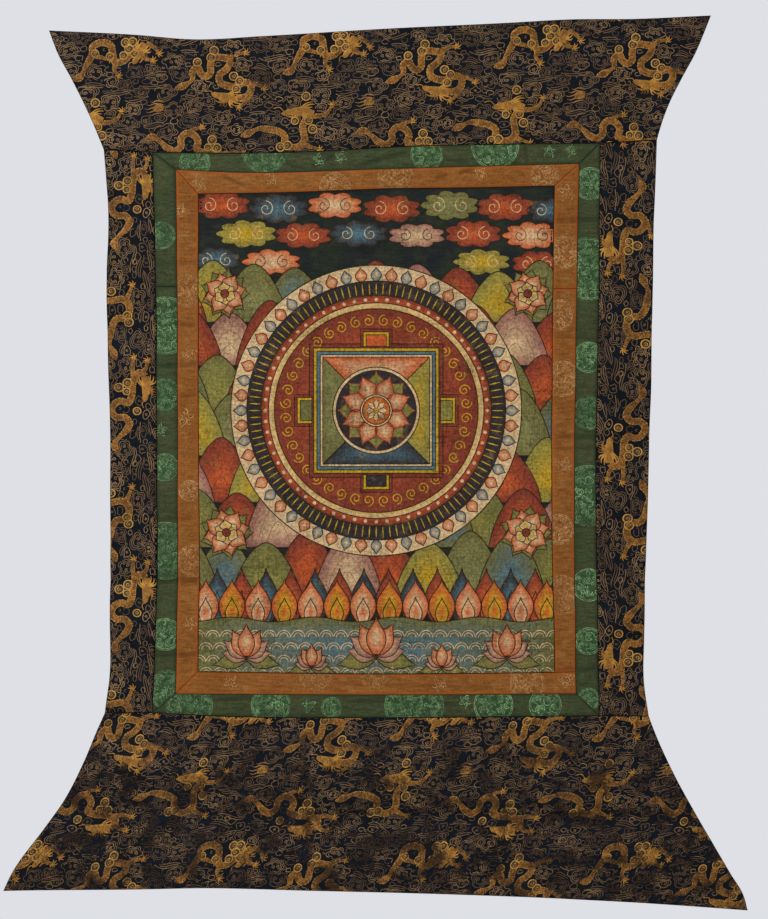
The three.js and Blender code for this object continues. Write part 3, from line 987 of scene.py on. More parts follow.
# %% [markdown]
# ## Four dragons
# The brocade repeats four dragons among clouds. Each is a spine from the tail's tip to the neck, a
# head that goes on to the snout, limbs from the body to the wrist, and the bright curls that spring
# from the body. The points are read as a weaver would draw them, in millimetres from the middle of
# each dragon.

# %% The dragons and their places in the repeat
DRAGONS = {
    "rising": {
        "at": (0, 0),
        "spine": [
            (-64, 7), (-51, 3), (-42, -4), (-42, -13), (-36, -18), (-31.5, -10), (-26, -6.5),
            (-20.5, -10), (-20, -19), (-18, -27.5), (-11, -29.5), (-3, -28), (3.5, -27),
            (3.5, -21), (-1.5, -14), (-9, -8), (-9, 0), (0, 5.5), (11, 6), (20, 2), (28, 4),
            (29, 12), (24, 19), (14, 21),
        ],
        "head": [(14, 21), (3, 20), (-19, 14.5)],
        "limbs": [
            [(4, -27), (13, -32.5), (22, -33.5)],
            [(26, 4), (36, 4.5), (44, 9)],
            [(26, 17), (22, 26), (16, 30.5)],
        ],
        "curls": [
            (-36, -24, 4.6), (-19, -29, 5), (-15.6, -37, 5), (8, -6, 4.8), (15.4, 0, 4.8),
            (11.3, 9.5, 4.6),
        ],
    },
    "ringed": {
        "at": (-131, -32),
        "spine": [
            (-58, 25), (-46.5, 21), (-42, 11), (-37, 3), (-32.5, -6), (-32, -14), (-22, -19),
            (-10, -15), (-8, -5), (-4, 5.5), (4.5, 4), (13, -3), (22, -9), (31, -15),
        ],
        "head": [(32, -16), (26, -7), (17, 8)],
        "limbs": [
            [(-34, -4), (-22, -1), (-10, 2.5)],
            [(-4, 6), (-6, 14), (-1.5, 20.5)],
            [(33, -17), (44, -10), (48, -5)],
            [(26, -2), (34, 2.5), (40, 4)],
        ],
        "curls": [
            (-29, -6, 4.2), (-11, -2, 4.4), (5.5, -2.5, 4.4), (18.5, -4.5, 4.4), (8, -18, 5),
            (16.5, -18.5, 5), (12, -10.5, 5),
        ],
    },
    "arched": {
        "at": (89, 53),
        "spine": [
            (-73, 14), (-61, 9.5), (-50, 5), (-38, 6.5), (-27, 9), (-19, 15), (-18.5, 24),
            (-9.5, 29), (0, 27), (5, 20), (4, 12), (3, 3), (8, -5), (16, -10),
        ],
        "head": [(16, -10), (4, -14), (-23, -12)],
        "limbs": [
            [(17, -8), (27, -9), (34, -13), (38, -20)],
            [(4, 24), (13, 29), (22, 32)],
        ],
        "curls": [
            (-24, 28, 5), (-15.5, 26.5, 5), (-6.5, -3, 4.2), (10, -3, 4.4), (15, 7.5, 5),
            (7, -32, 4.8),
        ],
    },
    "waving": {
        "at": (-35, 76),
        "spine": [
            (-66, -8.5), (-54, -11.5), (-46, -6), (-37, 2.5), (-28.5, 6), (-21, 1), (-20.5, -9),
            (-13.5, -15), (-4.5, -12), (0, -3.5), (-2.5, 4.5), (5.5, 8.5), (18, 9.5), (29, 12),
            (36, 18), (31, 25),
        ],
        "head": [(31, 25), (19, 26), (-1, 24)],
        "limbs": [
            [(-14, -14), (-5, -19.5), (3.5, -21.5)],
            [(28, 11), (42, 10), (54, 11)],
            [(34, 20), (43, 26), (50, 27)],
        ],
        "curls": [(17, -6, 5), (23, 4, 5), (12, 3, 4), (-13, 15, 4.4)],
    },
}
PEARL = (-82, 29)
REPEAT_ACROSS = (256.0, 0.0)
REPEAT_DOWN = (24.0, 171.0)
print("dragons:", ", ".join(DRAGONS))

# %% Talons
DARK, BROWN, CLOUD, FLAME, GOLD, FACE = 0.0, 0.14, 0.33, 0.55, 0.7, 0.77  # tones on one ramp
HORN, MANE, BRIGHT = 0.85, 0.9, 1.0
BODY_LIFT, LIMB_LIFT, DISC_LIFT, CURL_LIFT = 0.5, 0.6, 0.66, 0.95
BODY_STEP, FINE_STEP = 1.5, 1.2
TALONS = [(-1.3, 2.8), (-0.6, 3.4), (0.1, 3.8), (0.8, 3.3), (2.0, 2.3)]  # angle, length of a joint
TALON_HOOK = 0.7


def lick(motif, bends, thick, thin, tone, lift=LIMB_LIFT, step=FINE_STEP):
    """A stroke through a few bends, which thins evenly from its root to its end."""
    path = smooth_path(bends, step)
    motif.stroke(path, np.linspace(thick, thin, len(path)), tone, lift)
    return path


def talons(motif, wrist, heading):
    """A claw: five curved talons in a fan round the wrist."""
    motif.disc(wrist, 2.4, GOLD, LIMB_LIFT)
    for spread, reach in TALONS:
        knuckle = polar(wrist, reach, heading + spread)
        tip = polar(knuckle, reach, heading + spread - TALON_HOOK)
        lick(motif, [wrist, knuckle, tip], 1.3, 0.3, HORN)


print("talons on a claw:", len(TALONS))

# %% Heads
SKULL_REACH = [0, 0.3, 0.55, 0.75, 0.9, 1]
SKULL_HALF = [4.7, 6.0, 5.2, 3.8, 3.4, 0.8]
LOCKS = [(-0.36, -8.5), (-0.3, -5.0), (-0.42, 4.5), (-0.34, 8.0), (-0.18, 10.5)]  # ahead, down
HORNS = [-9.5, -7.0]  # down
BEARD = [0.1, 0.2, 0.3]  # ahead
FACE_CURLS = [  # ahead, down, radius
    (-0.05, 4.0, 3.0), (0.02, -3.5, 2.6), (0.3, 2.6, 2.4), (0.45, -1.0, 2.0),
]
EYE = (0.14, -1.4)


def head(motif, bones):
    """Skull and jaw along the bones from neck to snout, with mane, horns, whisker and eye."""
    path = smooth_path(bones, BODY_STEP)
    half = np.interp(np.linspace(0.0, 1.0, len(path)), SKULL_REACH, SKULL_HALF)
    motif.stroke(path, half, FACE, BODY_LIFT, sides=5)
    forward = path[-1] - path[0]
    length = np.linalg.norm(forward)
    forward = forward / length
    chin = np.array([-forward[1], forward[0]])
    chin = chin if chin[1] > 0 else -chin
    skull = path[len(path) // 3]

    def spot(ahead, down):
        """A place on the head: ahead in head lengths, down towards the chin in millimetres."""
        return skull + ahead * length * forward + down * chin

    lick(motif, [spot(0.05, 3.5), spot(0.3, 7.0), spot(0.5, 6.5)], 2.2, 0.6, FACE, BODY_LIFT)
    for ahead, down in LOCKS:
        bends = [spot(-0.02, 0.5 * down), spot(0.6 * ahead, down), spot(ahead, down)]
        lick(motif, bends, 1.5, 0.3, MANE)
    for down in HORNS:
        lick(motif, [spot(0.08, -3.5), spot(-0.1, down), spot(-0.32, down - 2.5)], 1.3, 0.3, HORN)
    lick(motif, [spot(0.6, 0.0), spot(0.72, -4.0), spot(0.92, -2.5)], 0.5, 0.5, HORN)
    for ahead in BEARD:
        bends = [spot(ahead, 6.0), spot(ahead - 0.04, 9.5), spot(ahead + 0.03, 12.0)]
        lick(motif, bends, 0.9, 0.3, GOLD)
    for ahead, down, size in FACE_CURLS:
        motif.stroke(spiral(spot(ahead, down), size, 1.2, 5 * ahead), 0.55, BRIGHT, CURL_LIFT)
    motif.disc(spot(*EYE), 1.7, DARK, DISC_LIFT)
    motif.disc(spot(*EYE), 0.8, BRIGHT, CURL_LIFT)


print("locks in a mane:", len(LOCKS))

# %% Bodies, and one repeat of dragons with their pearl
TAIL_RUN = [0, 5, 10, 15, 20, 34]
TAIL_HALF = [0.3, 3.6, 5.2, 3.6, 2.2, 4.5]
FLAMES = [(-7.5, 11), (-4.0, 16), (0.5, 19), (4.5, 17), (8.0, 13)]  # rise, reach


def dragon(motif, shape):
    middle = np.array(shape["at"], float)
    spine = smooth_path(np.array(shape["spine"]) + middle, BODY_STEP)
    half = np.interp(run_along(spine), TAIL_RUN, TAIL_HALF)
    motif.stroke(spine, half, GOLD, BODY_LIFT, sides=5)
    for limb in shape["limbs"]:
        path = lick(motif, np.array(limb) + middle, 3.3, 1.7, GOLD, step=BODY_STEP)
        heading = path[-1] - path[-3]
        talons(motif, path[-1], math.atan2(heading[1], heading[0]))
    head(motif, np.array(shape["head"]) + middle)
    for turn, (u, v, radius) in enumerate(shape["curls"]):
        centre = middle + (u, v)
        motif.disc(centre, radius + 0.6, BROWN, DISC_LIFT)
        rim = spiral(centre, radius + 0.3, 1.0, 1.7 * turn, inner=0.94)
        motif.stroke(rim, 0.75, BRIGHT, CURL_LIFT)
        hook = spiral(centre, 0.55 * radius, 1.1 if turn % 2 else -1.1, 1.7 * turn)
        motif.stroke(hook, 0.7, BRIGHT, CURL_LIFT)


def pearl(motif, centre):
    """A pearl with a curl on it and flames that trail to the left."""
    for step in range(3):
        spot = (centre[0] - 2.2 * step, centre[1] + 0.6 * step)
        motif.disc(spot, 5.4 - 0.7 * step, GOLD, BODY_LIFT)
    motif.stroke(spiral((centre[0] + 1, centre[1]), 3.4, 1.2, 0.0), 0.5, BRIGHT, LIMB_LIFT)
    for rise, reach in FLAMES:
        tail = [(-0.4 * reach, rise - 0.6), (-0.8 * reach, rise + 1.2), (-reach, rise)]
        path = smooth_path(np.array([(6, 0.8 * rise), *tail]) + centre, BODY_STEP)
        half = 0.2 + 0.6 * np.sin(np.linspace(0.0, np.pi, len(path)))
        motif.stroke(path, half, FLAME, LIMB_LIFT)


DRAGON_TILE = Motif()
for shape in DRAGONS.values():
    dragon(DRAGON_TILE, shape)
pearl(DRAGON_TILE, PEARL)
print("points in one repeat of dragons:", DRAGON_TILE.count)

# %% [markdown]
# ## Cloud scrolls
# Between the dragons the weaver filled every gap with clouds: a scalloped rim, more rims inside it,
# curls in the middle, and streamers that narrow to a point at both ends. They are packed here the
# same way, the streamers and the large clouds first, wherever there is room. Clouds are wider than
# tall, so the room is measured on a plan that is squeezed sideways, and since the repeat wraps
# round, it is measured across the repeat's edges too.

# %% Room in the repeat
CLOUD_ASPECT = 1.45


class Room:
    """What is already taken in the repeat, as points with a radius each."""

    def __init__(self, points, radius):
        self.points = np.asarray(points, float)
        self.radii = np.full(len(self.points), radius)

    def gap(self, spot):
        away = self.points - spot
        away = away - np.round(away[:, 1:] / REPEAT_DOWN[1]) * np.array(REPEAT_DOWN)
        away = away - np.round(away[:, :1] / REPEAT_ACROSS[0]) * np.array(REPEAT_ACROSS)
        return float(np.min(np.hypot(away[:, 0] / CLOUD_ASPECT, away[:, 1]) - self.radii))

    def take(self, spots, radius):
        spots = np.atleast_2d(spots)
        self.points = np.concatenate([self.points, spots])
        self.radii = np.concatenate([self.radii, np.full(len(spots), radius)])


def any_spot(dice):
    return np.array([dice.uniform(0, REPEAT_ACROSS[0]), dice.uniform(0, REPEAT_DOWN[1])])


def any_angle(dice):
    return dice.uniform(0.0, 6.28)


print("the repeat is", REPEAT_ACROSS[0], "mm wide and", REPEAT_DOWN[1], "mm tall")

# %% Clouds and streamers
LOOP_PITCH = 2.2
LINE_HALF = 0.4
CLOUD_LIFT = 0.25
STREAMER_POINTS = 24
STREAMER_HALO = 2.6
STREAMER_LINES = (-2.8, 0.0, 2.8)


def cloud(motif, centre, radius, dice, tone):
    """Scalloped rims one inside the other, and curls in the middle."""

    def line(path):
        motif.stroke(path, LINE_HALF, tone * dice.uniform(0.85, 1.15), CLOUD_LIFT, sides=2)

    lobes = dice.choice((4, 5, 6)) if radius > 6 else dice.choice((2, 3, 4))
    lean, sway = any_angle(dice), any_angle(dice)
    for inset in range(3):
        reach = radius - inset * LOOP_PITCH
        turns = dice.uniform(0.85 - 0.15 * inset, 1.0)
        if reach < 2.4:
            continue
        t = any_angle(dice) + np.linspace(0.0, 2 * np.pi * turns, max(9, int(3.3 * reach)))
        rim = reach * (0.66 + 0.34 * np.abs(np.sin(lobes * t / 2 + lean + 0.6 * np.sin(t + sway))))
        line(centre + polar((0, 0), rim, t) * (CLOUD_ASPECT, 1.0))
    if radius > 7.0:
        for side in (-1, 1):
            middle = centre + (side * 0.32 * radius, dice.uniform(-0.12, 0.12) * radius)
            line(spiral(middle, 0.24 * radius, side * 1.3, any_angle(dice)))
    elif radius > 4.0:
        line(spiral(centre, 0.38 * radius, dice.choice((-1.2, 1.2)), any_angle(dice)))


def streamer(motif, room, dice):
    """Wavy lines side by side that draw together at both ends, if there is room for them."""
    start = any_spot(dice)
    t = np.linspace(0.0, 1.0, STREAMER_POINTS)
    height = dice.uniform(1.0, 3.4) * np.sin(dice.uniform(3.0, 6.0) * t + any_angle(dice))
    wave = np.stack([dice.uniform(22.0, 48.0) * t, height], axis=1)
    if min(room.gap(spot) for spot in start + wave[::3]) < STREAMER_HALO:
        return 0
    room.take(start + wave[::2], STREAMER_HALO)
    spread = np.sin(np.pi * t) ** 0.8
    for offset in STREAMER_LINES[dice.randint(0, 1) :]:
        line = start + wave + np.stack([0 * t, offset * spread], axis=1)
        cut = slice(dice.randint(0, 6), STREAMER_POINTS - dice.randint(0, 6))
        motif.stroke(line[cut], LINE_HALF, CLOUD * dice.uniform(0.85, 1.2), CLOUD_LIFT, sides=2)
    return 1


print("lines in a streamer, at most:", len(STREAMER_LINES))

# %% Packing the clouds
CLOUD_HALO = 2.0
CLOUD_OVERLAP = 0.56
CLOUD_SIZES = (10.0, 8.6, 7.4, 6.4, 5.4, 4.6, 3.9, 3.3, 2.7)
CLOUD_TRIES = 2600
COMMA_SIZE = 2.0
STREAMERS = 28
STREAMER_TRIES = 4000


def cloud_tile(taken, seed):
    dice = random.Random(seed)
    room = Room(taken, CLOUD_HALO)
    motif = Motif()
    placed = 0
    for _ in range(STREAMER_TRIES):
        placed += streamer(motif, room, dice) if placed < STREAMERS else 0
    for radius in (*CLOUD_SIZES, COMMA_SIZE):
        for _ in range(CLOUD_TRIES):
            spot = any_spot(dice)
            if room.gap(spot) < CLOUD_OVERLAP * radius:
                continue
            room.take(spot, radius)
            tone = CLOUD * dice.uniform(0.8, 1.25)
            if radius > COMMA_SIZE:
                cloud(motif, spot, radius, dice, tone)
            else:
                comma = spiral(spot, radius, dice.choice((-0.8, 0.8)), any_angle(dice))
                motif.stroke(comma, LINE_HALF, tone, CLOUD_LIFT, sides=2)
    print("streamers:", placed)
    return motif


CLOUD_TILE = cloud_tile(np.concatenate(DRAGON_TILE.plans)[::3], seed=11)
print("points in one repeat of clouds:", CLOUD_TILE.count)

# %% [markdown]
# ## Gilt thread
# Gilt thread is a flat strip with gold leaf on it. It could be one metal of one colour, but old
# gold is uneven: rubbed brown where the cloth was rolled, dull in the clouds and bright on the
# curls. So every stroke carries a tone, the tones share one ramp, and wear goes over all of them.

# %% Finish of the gold
RIB_PITCH = 2.7
WEFT_PITCH = 0.9


def gold_finish():
    """Gilt thread: tones by attribute, scales and bright edges on the bodies, and wear."""
    finish = Finish("gold_thread", Metallic=0.2, Specular_IOR_Level=0.2)
    gilt = finish.attribute("gilt")
    stops = [
        (0.0, rgb("0d0f13")),
        (0.28, rgb("614b36")),
        (0.45, rgb("a38055")),
        (0.7, rgb("aa712c")),
        (0.85, rgb("bd8634")),
        (1.0, rgb("d6a148")),
    ]
    colour = finish.add("ShaderNodeValToRGB", {"stops": stops}, {"Fac": gilt})
    body = gilt.rise(0.5, 0.65) * (1 - gilt.rise(0.72, 0.82))
    across = finish.attribute("across")
    jitter = finish.noise(4.0) * 11.0
    along = finish.attribute("along") * (2 * math.pi / RIB_PITCH)
    ribs = (along + across.size() * 1.6 + jitter).sin()
    scales = finish.noise(2.6, detail=2.0).rise(0.42, 0.58)
    rubbed = finish.noise(9.0, detail=3.0).rise(0.46, 0.62)
    dark = (ribs.rise(-0.1, 0.7) * 0.28 + scales * 0.5 + rubbed * 0.42).math("MINIMUM", 0.82)
    colour = finish.blend(dark * body, colour, rgb("42270f"))
    lit = across.size().rise(0.55, 0.95) * (1 - ribs.rise(-0.4, 0.5)) * body
    colour = finish.blend(lit * 0.65, colour, rgb("e0b058"))
    # Wear in blots and specks, stronger on the bottom panel, and the gold a little darker towards
    # that panel's outer corners.
    low_panel = 1 - finish.along("Z").rise(-0.9, -0.8)
    corner = low_panel * finish.along("X").size().rise(0.15, 0.4)
    blots = finish.noise(26.0, detail=3.0).rise(0.42, 0.66)
    specks = finish.noise(2.4, detail=2.0).rise(0.42, 0.66)
    worn = (blots * 0.62 + specks * 0.35) * (0.5 + 0.9 * low_panel) + corner * 0.1
    colour = finish.blend(worn, colour, rgb("3c2712"))
    finish.paint(Base_Color=colour, Roughness=0.45 + 0.25 * worn)
    weft = (finish.along("Z") * (2 * math.pi / (WEFT_PITCH * MM))).sin()
    finish.bump(weft * 0.5 + specks, 0.3, 0.25)
    return finish


GOLD_FINISH = gold_finish()
print("nodes in the gold:", len(GOLD_FINISH.tree.nodes))

# %% [markdown]
# ## Laying the brocade's pattern
# Each brocade piece was cut from the same cloth: the top and bottom with the dragons upright, the
# side strips with the cloth turned. So a piece has its own origin and its own directions for the
# pattern, and takes as many repeats as reach it.

# %% Gold on the four brocade pieces
PANELS = {  # where the rising dragon sits, and what a step right and a step down are on the cloth
    "brocade_top": {"at": (69.4, -55.2), "right": (0.988, 0.03), "down": (0.0, -1.0)},
    "brocade_bottom": {"at": (-54.7, -859.0), "right": (0.949, -0.004), "down": (-0.22, -1.0)},
    "brocade_left": {"at": (-384.9, -171.4), "right": (0.0, 0.945), "down": (1.03, 0.0)},
    "brocade_right": {"at": (384.3, -277.6), "right": (0.0, -0.965), "down": (-1.08, 0.0)},
}
REPEATS = [(i, j) for i in range(-5, 6) for j in range(-6, 7)]


def repeated(plan, patch):
    """The plan at every place of the repeat that reaches the patch."""
    panel = PANELS[patch.name]
    axes = np.array([panel["right"], panel["down"]])
    outline = np.concatenate([patch.top, patch.bottom, patch.left, patch.right])
    low, high = outline.min(axis=0), outline.max(axis=0)
    for i, j in REPEATS:
        shift = i * np.array(REPEAT_ACROSS) + j * np.array(REPEAT_DOWN)
        cloth = np.array(panel["at"]) + (plan + shift) @ axes
        if (cloth.max(axis=0) > low).all() and (cloth.min(axis=0) < high).all():
            yield cloth[:, 0], cloth[:, 1]


for name in PANELS:
    patch = PATCHES[name]
    laid(CLOUD_TILE, patch, repeated, name + "_clouds", GOLD_FINISH, "gilt")
    laid(DRAGON_TILE, patch, repeated, name + "_dragons", GOLD_FINISH, "gilt")

# %% [markdown]
# ## Damask figures
# The framing strips are cut from figured silk: roundels packed with a maze of fine scrolls inside a
# double rim, and small sprigs between them. The strips are narrow, so most roundels are cut by a
# seam. Each row places one figure by its middle and its radius; the small ones are sprigs.

# %% Places of the figures
FIGURES = {  # middle x and z, radius
    "green_top": [
        (-222, -161, 19), (-138, -145, 29), (-73, -157, 8), (-47, -154, 8), (56, -151, 20),
        (138, -140, 29), (203, -148, 8), (229, -145, 8),
    ],
    "green_bottom": [
        (-229, -811, 29), (-131, -811, 24), (-85, -812, 9), (-58, -814, 13), (41, -812, 36),
        (102, -806, 8), (136, -811, 24), (198, -811, 20),
    ],
    "green_left_upper": [(-262, -248, 17)],
    "green_left_lower": [
        (-257, -356, 35), (-257, -439, 20), (-262, -482, 8), (-258, -526, 17), (-257, -626, 35),
        (-257, -726, 20), (-254, -793, 24),
    ],
    "green_right": [
        (252, -186, 20), (250, -288, 38), (250, -394, 19), (250, -461, 20), (250, -560, 37),
        (250, -667, 20), (250, -734, 17), (250, -804, 14),
    ],
    "tan_top": [
        (-217, -186, 11), (-130, -180, 9), (-54, -191, 19), (19, -179, 22), (120, -175, 9),
        (198, -179, 19),
    ],
    "tan_bottom": [
        (-179, -784, 9), (-77, -774, 21), (-6, -775, 18), (71, -786, 9), (176, -784, 22),
        (224, -781, 11),
    ],
    "tan_left": [
        (-239, -218, 8), (-232, -314, 20), (-228, -391, 10), (-233, -466, 11), (-228, -554, 13),
        (-224, -638, 20), (-227, -712, 9),
    ],
    "tan_right_upper": [(223, -197, 11), (222, -268, 20)],
    "tan_right_lower": [
        (214, -343, 19), (218, -420, 22), (222, -523, 10), (214, -600, 19), (218, -679, 24),
    ],
}
print("figures:", {name: len(figures) for name, figures in FIGURES.items()})

# %% Roundels and sprigs
RIM_INSETS = (0.8, 2.6)
RIM_ROOM = 3.4
SCROLL_SIZES = (5.4, 4.2, 3.2, 2.4, 1.8)
SCROLL_PITCH = 2.1
TRIES_PER_MM = 9
SPRIG_CURLS = 5
SILK_HALF = 0.42
SILK_LIFT = 0.2
FIGURE_GROUND, FIGURE_LINE = 0.35, 1.0


def circle(centre, radius, step=4.0):
    t = np.linspace(0.0, 2 * np.pi, max(16, int(2 * np.pi * radius / step)), endpoint=False)
    return polar(centre, radius, t)


def ring(outline):
    return np.concatenate([outline, outline[:2]])


def roundel(motif, centre, radius, dice):
    """A disc of lighter silk with a double rim, filled with a maze of scrolls."""
    strength = dice.uniform(0.7, 1.0)

    def line(path, tone):
        motif.stroke(path, SILK_HALF, FIGURE_LINE * tone * strength, SILK_LIFT, sides=2)

    ground = [FIGURE_GROUND * strength]
    motif.field(circle(centre, radius), centre, ground, ground, 0.12)
    for inset in RIM_INSETS:
        line(ring(circle(centre, radius - inset, 2.0)), dice.uniform(0.6, 0.9))
    spots = np.zeros((0, 3))
    for size in SCROLL_SIZES:
        for _ in range(int(TRIES_PER_MM * radius)):
            reach = (radius - RIM_ROOM - 0.8 * size) * math.sqrt(dice.random())
            spot = polar(centre, reach, any_angle(dice))
            gaps = np.hypot(*(spots[:, :2] - spot).T) - spots[:, 2]
            if len(gaps) and gaps.min() < size:
                continue
            spots = np.concatenate([spots, [[*spot, size]]])
            lobes, lean = dice.choice((2, 3, 4)), any_angle(dice)
            for inner in np.arange(size, 0.9, -SCROLL_PITCH):
                turns = dice.uniform(0.55, 0.95)
                t = lean + np.linspace(0.0, 2 * np.pi * turns, max(7, int(5.0 * inner)))
                rim = inner * (0.7 + 0.3 * np.abs(np.sin(lobes * t / 2 + lean)))
                line(polar(spot, rim, t), dice.uniform(0.6, 1.0))


def sprig(motif, centre, radius, dice):
    """A small flower of a few loose curls on a stem."""
    turn = any_angle(dice)
    for step in range(SPRIG_CURLS):
        angle = turn + 1.26 * step
        middle = polar(centre, 0.55 * radius, angle)
        curl = spiral(middle, 0.4 * radius, dice.choice((-0.9, 0.9, 1.2)), angle)
        motif.stroke(curl, SILK_HALF, FIGURE_LINE * dice.uniform(0.6, 0.9), SILK_LIFT, sides=2)
    tip = (centre[0] + radius * math.cos(turn), centre[1] + 1.3 * radius * math.sin(turn))
    stem = smooth_path([centre, (centre[0] + 0.2 * radius, centre[1] - 0.3 * radius), tip], 1.5)
    motif.stroke(stem, SILK_HALF, 0.7, SILK_LIFT, sides=2)


print("scrolls in a roundel, in mm:", SCROLL_SIZES)

# %% Figured silk on the strips
SPRIG_BELOW = 12


def figure_finish(name, tones):
    """Figured silk, from the strip's own ground to the disc's tone and the lighter lines."""
    ground, disc, line = (rgb(code) for code in tones.split())
    finish = Finish(name, Roughness=0.5, Specular_IOR_Level=0.06)
    stops = [(0.0, ground), (FIGURE_GROUND, disc), (FIGURE_LINE, line)]
    silk = finish.attribute("silk")
    colour = finish.add("ShaderNodeValToRGB", {"stops": stops}, {"Fac": silk})
    blots = finish.noise(12.0, detail=4.0).rise(0.42, 0.66)
    specks = finish.noise(2.4, detail=2.0).rise(0.4, 0.66)
    sheen = finish.noise(6.5, detail=3.0).rise(0.5, 0.68)
    colour = finish.blend(sheen * 0.2, colour, line)
    colour = finish.blend(blots * 0.42 + specks * 0.38, colour, ground)
    grain = finish.noise(2.2, detail=3.0).rise(0.3, 0.7)
    colour = finish.blend(1.0, colour, 0.6 + 0.8 * grain, "MULTIPLY")
    shade = finish.noise(30.0, detail=2.0).rise(0.3, 0.7)
    colour = finish.blend(shade * 0.25, colour, tuple(0.55 * c for c in disc))
    finish.paint(Base_Color=colour)
    finish.bump(weave(finish, 0.6) + finish.noise(7.0, detail=5.0), 0.3, 0.4)
    return finish


FIGURE_FINISHES = {
    "green": figure_finish("green_figure_silk", "3c4a30 3a5735 a3cb8d"),
    "tan": figure_finish("tan_figure_silk", "8b5727 905c2a d8ae78"),
}
for name, figures in FIGURES.items():
    motif = Motif()
    dice = random.Random(name)
    for x, z, radius in figures:
        draw = sprig if radius < SPRIG_BELOW else roundel
        draw(motif, (x, z), radius, dice)
    finish = FIGURE_FINISHES[kind_of(name)]
    piece = laid(motif, PATCHES[name], as_drawn, name + "_figures", finish, "silk")

# %% [markdown]
# ## The painted field
# Mineral colours on primed canvas are flat and matt, each field shaded from its middle to its rim
# and drawn round with a dark line. The design here is a general one for such scrolls: a mandala,
# a palace square in rings of petals, among pointed hills, with clouds above and lotus water below.
# A field lies a hair above the one it covers, so that the later stroke of the brush is on top, and
# the hills lean like shingles, each row's tops over the feet of the row behind.

# %% Pigments and shapes
PIGMENTS = {
    "night": rgb("1f242e"),
    "vermilion": rgb("c6562a"),
    "maroon": rgb("7c3028"),
    "olive": rgb("8c8640"),
    "moss": rgb("6b6a3b"),
    "sage": rgb("868552"),
    "slate": rgb("4d737f"),
    "ochre": rgb("c69c1c"),
    "cream": rgb("dcba8a"),
    "mauve": rgb("9a625a"),
    "line": rgb("221a15"),
}
PAINT_BASE = 0.14
PAINT_STEP = 0.07
PAINTING = Motif()


def pigment(name):
    return (*PIGMENTS[name], 1.0)


def paint_field(outline, inner, outer, level, rim=0.6, hole=0.0, centre=None, edge="line"):
    """A field of paint with its dark line."""
    outline = np.asarray(outline, float)
    middle = outline.mean(axis=0) if centre is None else centre
    lift = PAINT_BASE + PAINT_STEP * level
    PAINTING.field(outline, middle, pigment(inner), pigment(outer), lift, hole)
    if rim:
        line = ring(fine_loop(outline, FIELD_STEP))
        PAINTING.stroke(line, rim, pigment(edge), lift + 0.5 * PAINT_STEP, sides=2)


def paint_line(path, half, name, level):
    lift = PAINT_BASE + PAINT_STEP * (level + 0.6)
    PAINTING.stroke(path, half, pigment(name), lift, sides=2)


def petal(root, tip, half, steps=9):
    """A pointed petal from its root to its tip."""
    root, tip = np.asarray(root, float), np.asarray(tip, float)
    axis = tip - root
    side = np.array([-axis[1], axis[0]]) / np.linalg.norm(axis)
    share = np.linspace(0.0, 1.0, steps)
    belly = half * (0.35 * (1 - share) + np.sin(np.pi * share**0.9)) * (1 - share**5)
    left = root + share[:, None] * axis + belly[:, None] * side
    right = root + share[:, None] * axis - belly[:, None] * side
    return np.concatenate([left, right[-2::-1]])


def hill(middle, base, width, height):
    """A pointed dome on a level foot."""
    share = np.linspace(-1.0, 1.0, max(9, int(width / 4)))
    rise = height * (1 - np.abs(share) ** 1.7) ** 0.75
    top = np.stack([middle + 0.5 * width * share, base + rise], axis=1)
    return np.concatenate([top, np.stack([top[-2:0:-1, 0], np.full(len(top) - 2, base)], axis=1)])


def bank(centre, width, height, lobes):
    """A cloud with a scalloped rim."""
    t = np.linspace(0.0, 2 * np.pi, 12 * lobes, endpoint=False)
    rim = 0.8 + 0.2 * np.abs(np.sin(lobes * t / 2))
    return centre + polar((0, 0), rim, t) * (0.5 * width, 0.5 * height)


print("pigments:", ", ".join(PIGMENTS))

# %% [markdown]
# ## Sky, hills and water
# Painters build such a landscape in rows, the far ones first: banks of cloud, pointed hills, a band
# of petals, and the water. Each row could be one wide field with lines on it, but fields of their
# own let every cloud and hill shade from its middle to its rim. The hills stop where the mandala
# will cover them.

# %% Sky
SKY_TOP, SKY_PITCH = -212, 34
SKY = [  # middle x, z, width, height, lobes, inner and outer pigment
    (-190, -212, 72, 34, 8, "vermilion", "maroon"), (-122, -216, 74, 36, 9, "slate", "night"),
    (-54, -212, 68, 32, 8, "cream", "vermilion"), (14, -216, 72, 34, 8, "vermilion", "maroon"),
    (84, -212, 72, 36, 9, "sage", "moss"), (150, -214, 72, 34, 8, "vermilion", "maroon"),
    (204, -218, 56, 30, 7, "slate", "night"), (-160, -246, 74, 34, 9, "ochre", "olive"),
    (-92, -248, 70, 32, 8, "vermilion", "maroon"), (-26, -246, 72, 32, 9, "slate", "night"),
    (44, -248, 70, 30, 8, "cream", "mauve"), (112, -246, 70, 34, 8, "vermilion", "maroon"),
    (182, -248, 72, 34, 9, "cream", "vermilion"), (-196, -278, 60, 32, 8, "slate", "night"),
    (-130, -280, 72, 32, 9, "cream", "vermilion"), (122, -280, 70, 32, 9, "ochre", "olive"),
    (188, -282, 62, 32, 8, "vermilion", "maroon"),
]
for x, z, width, height, lobes, inner, outer in SKY:
    level = 1 + round((SKY_TOP - z) / SKY_PITCH)
    paint_field(bank((x, z), width, height, lobes), inner, outer, level)
    for side in (-1, 1):
        curl = spiral((x + side * 0.2 * width, z), 0.26 * height, side * 1.3, 1.57)
        paint_line(curl, 0.45, "line" if inner == "cream" else "cream", level)
print("painted points in the sky:", PAINTING.count)

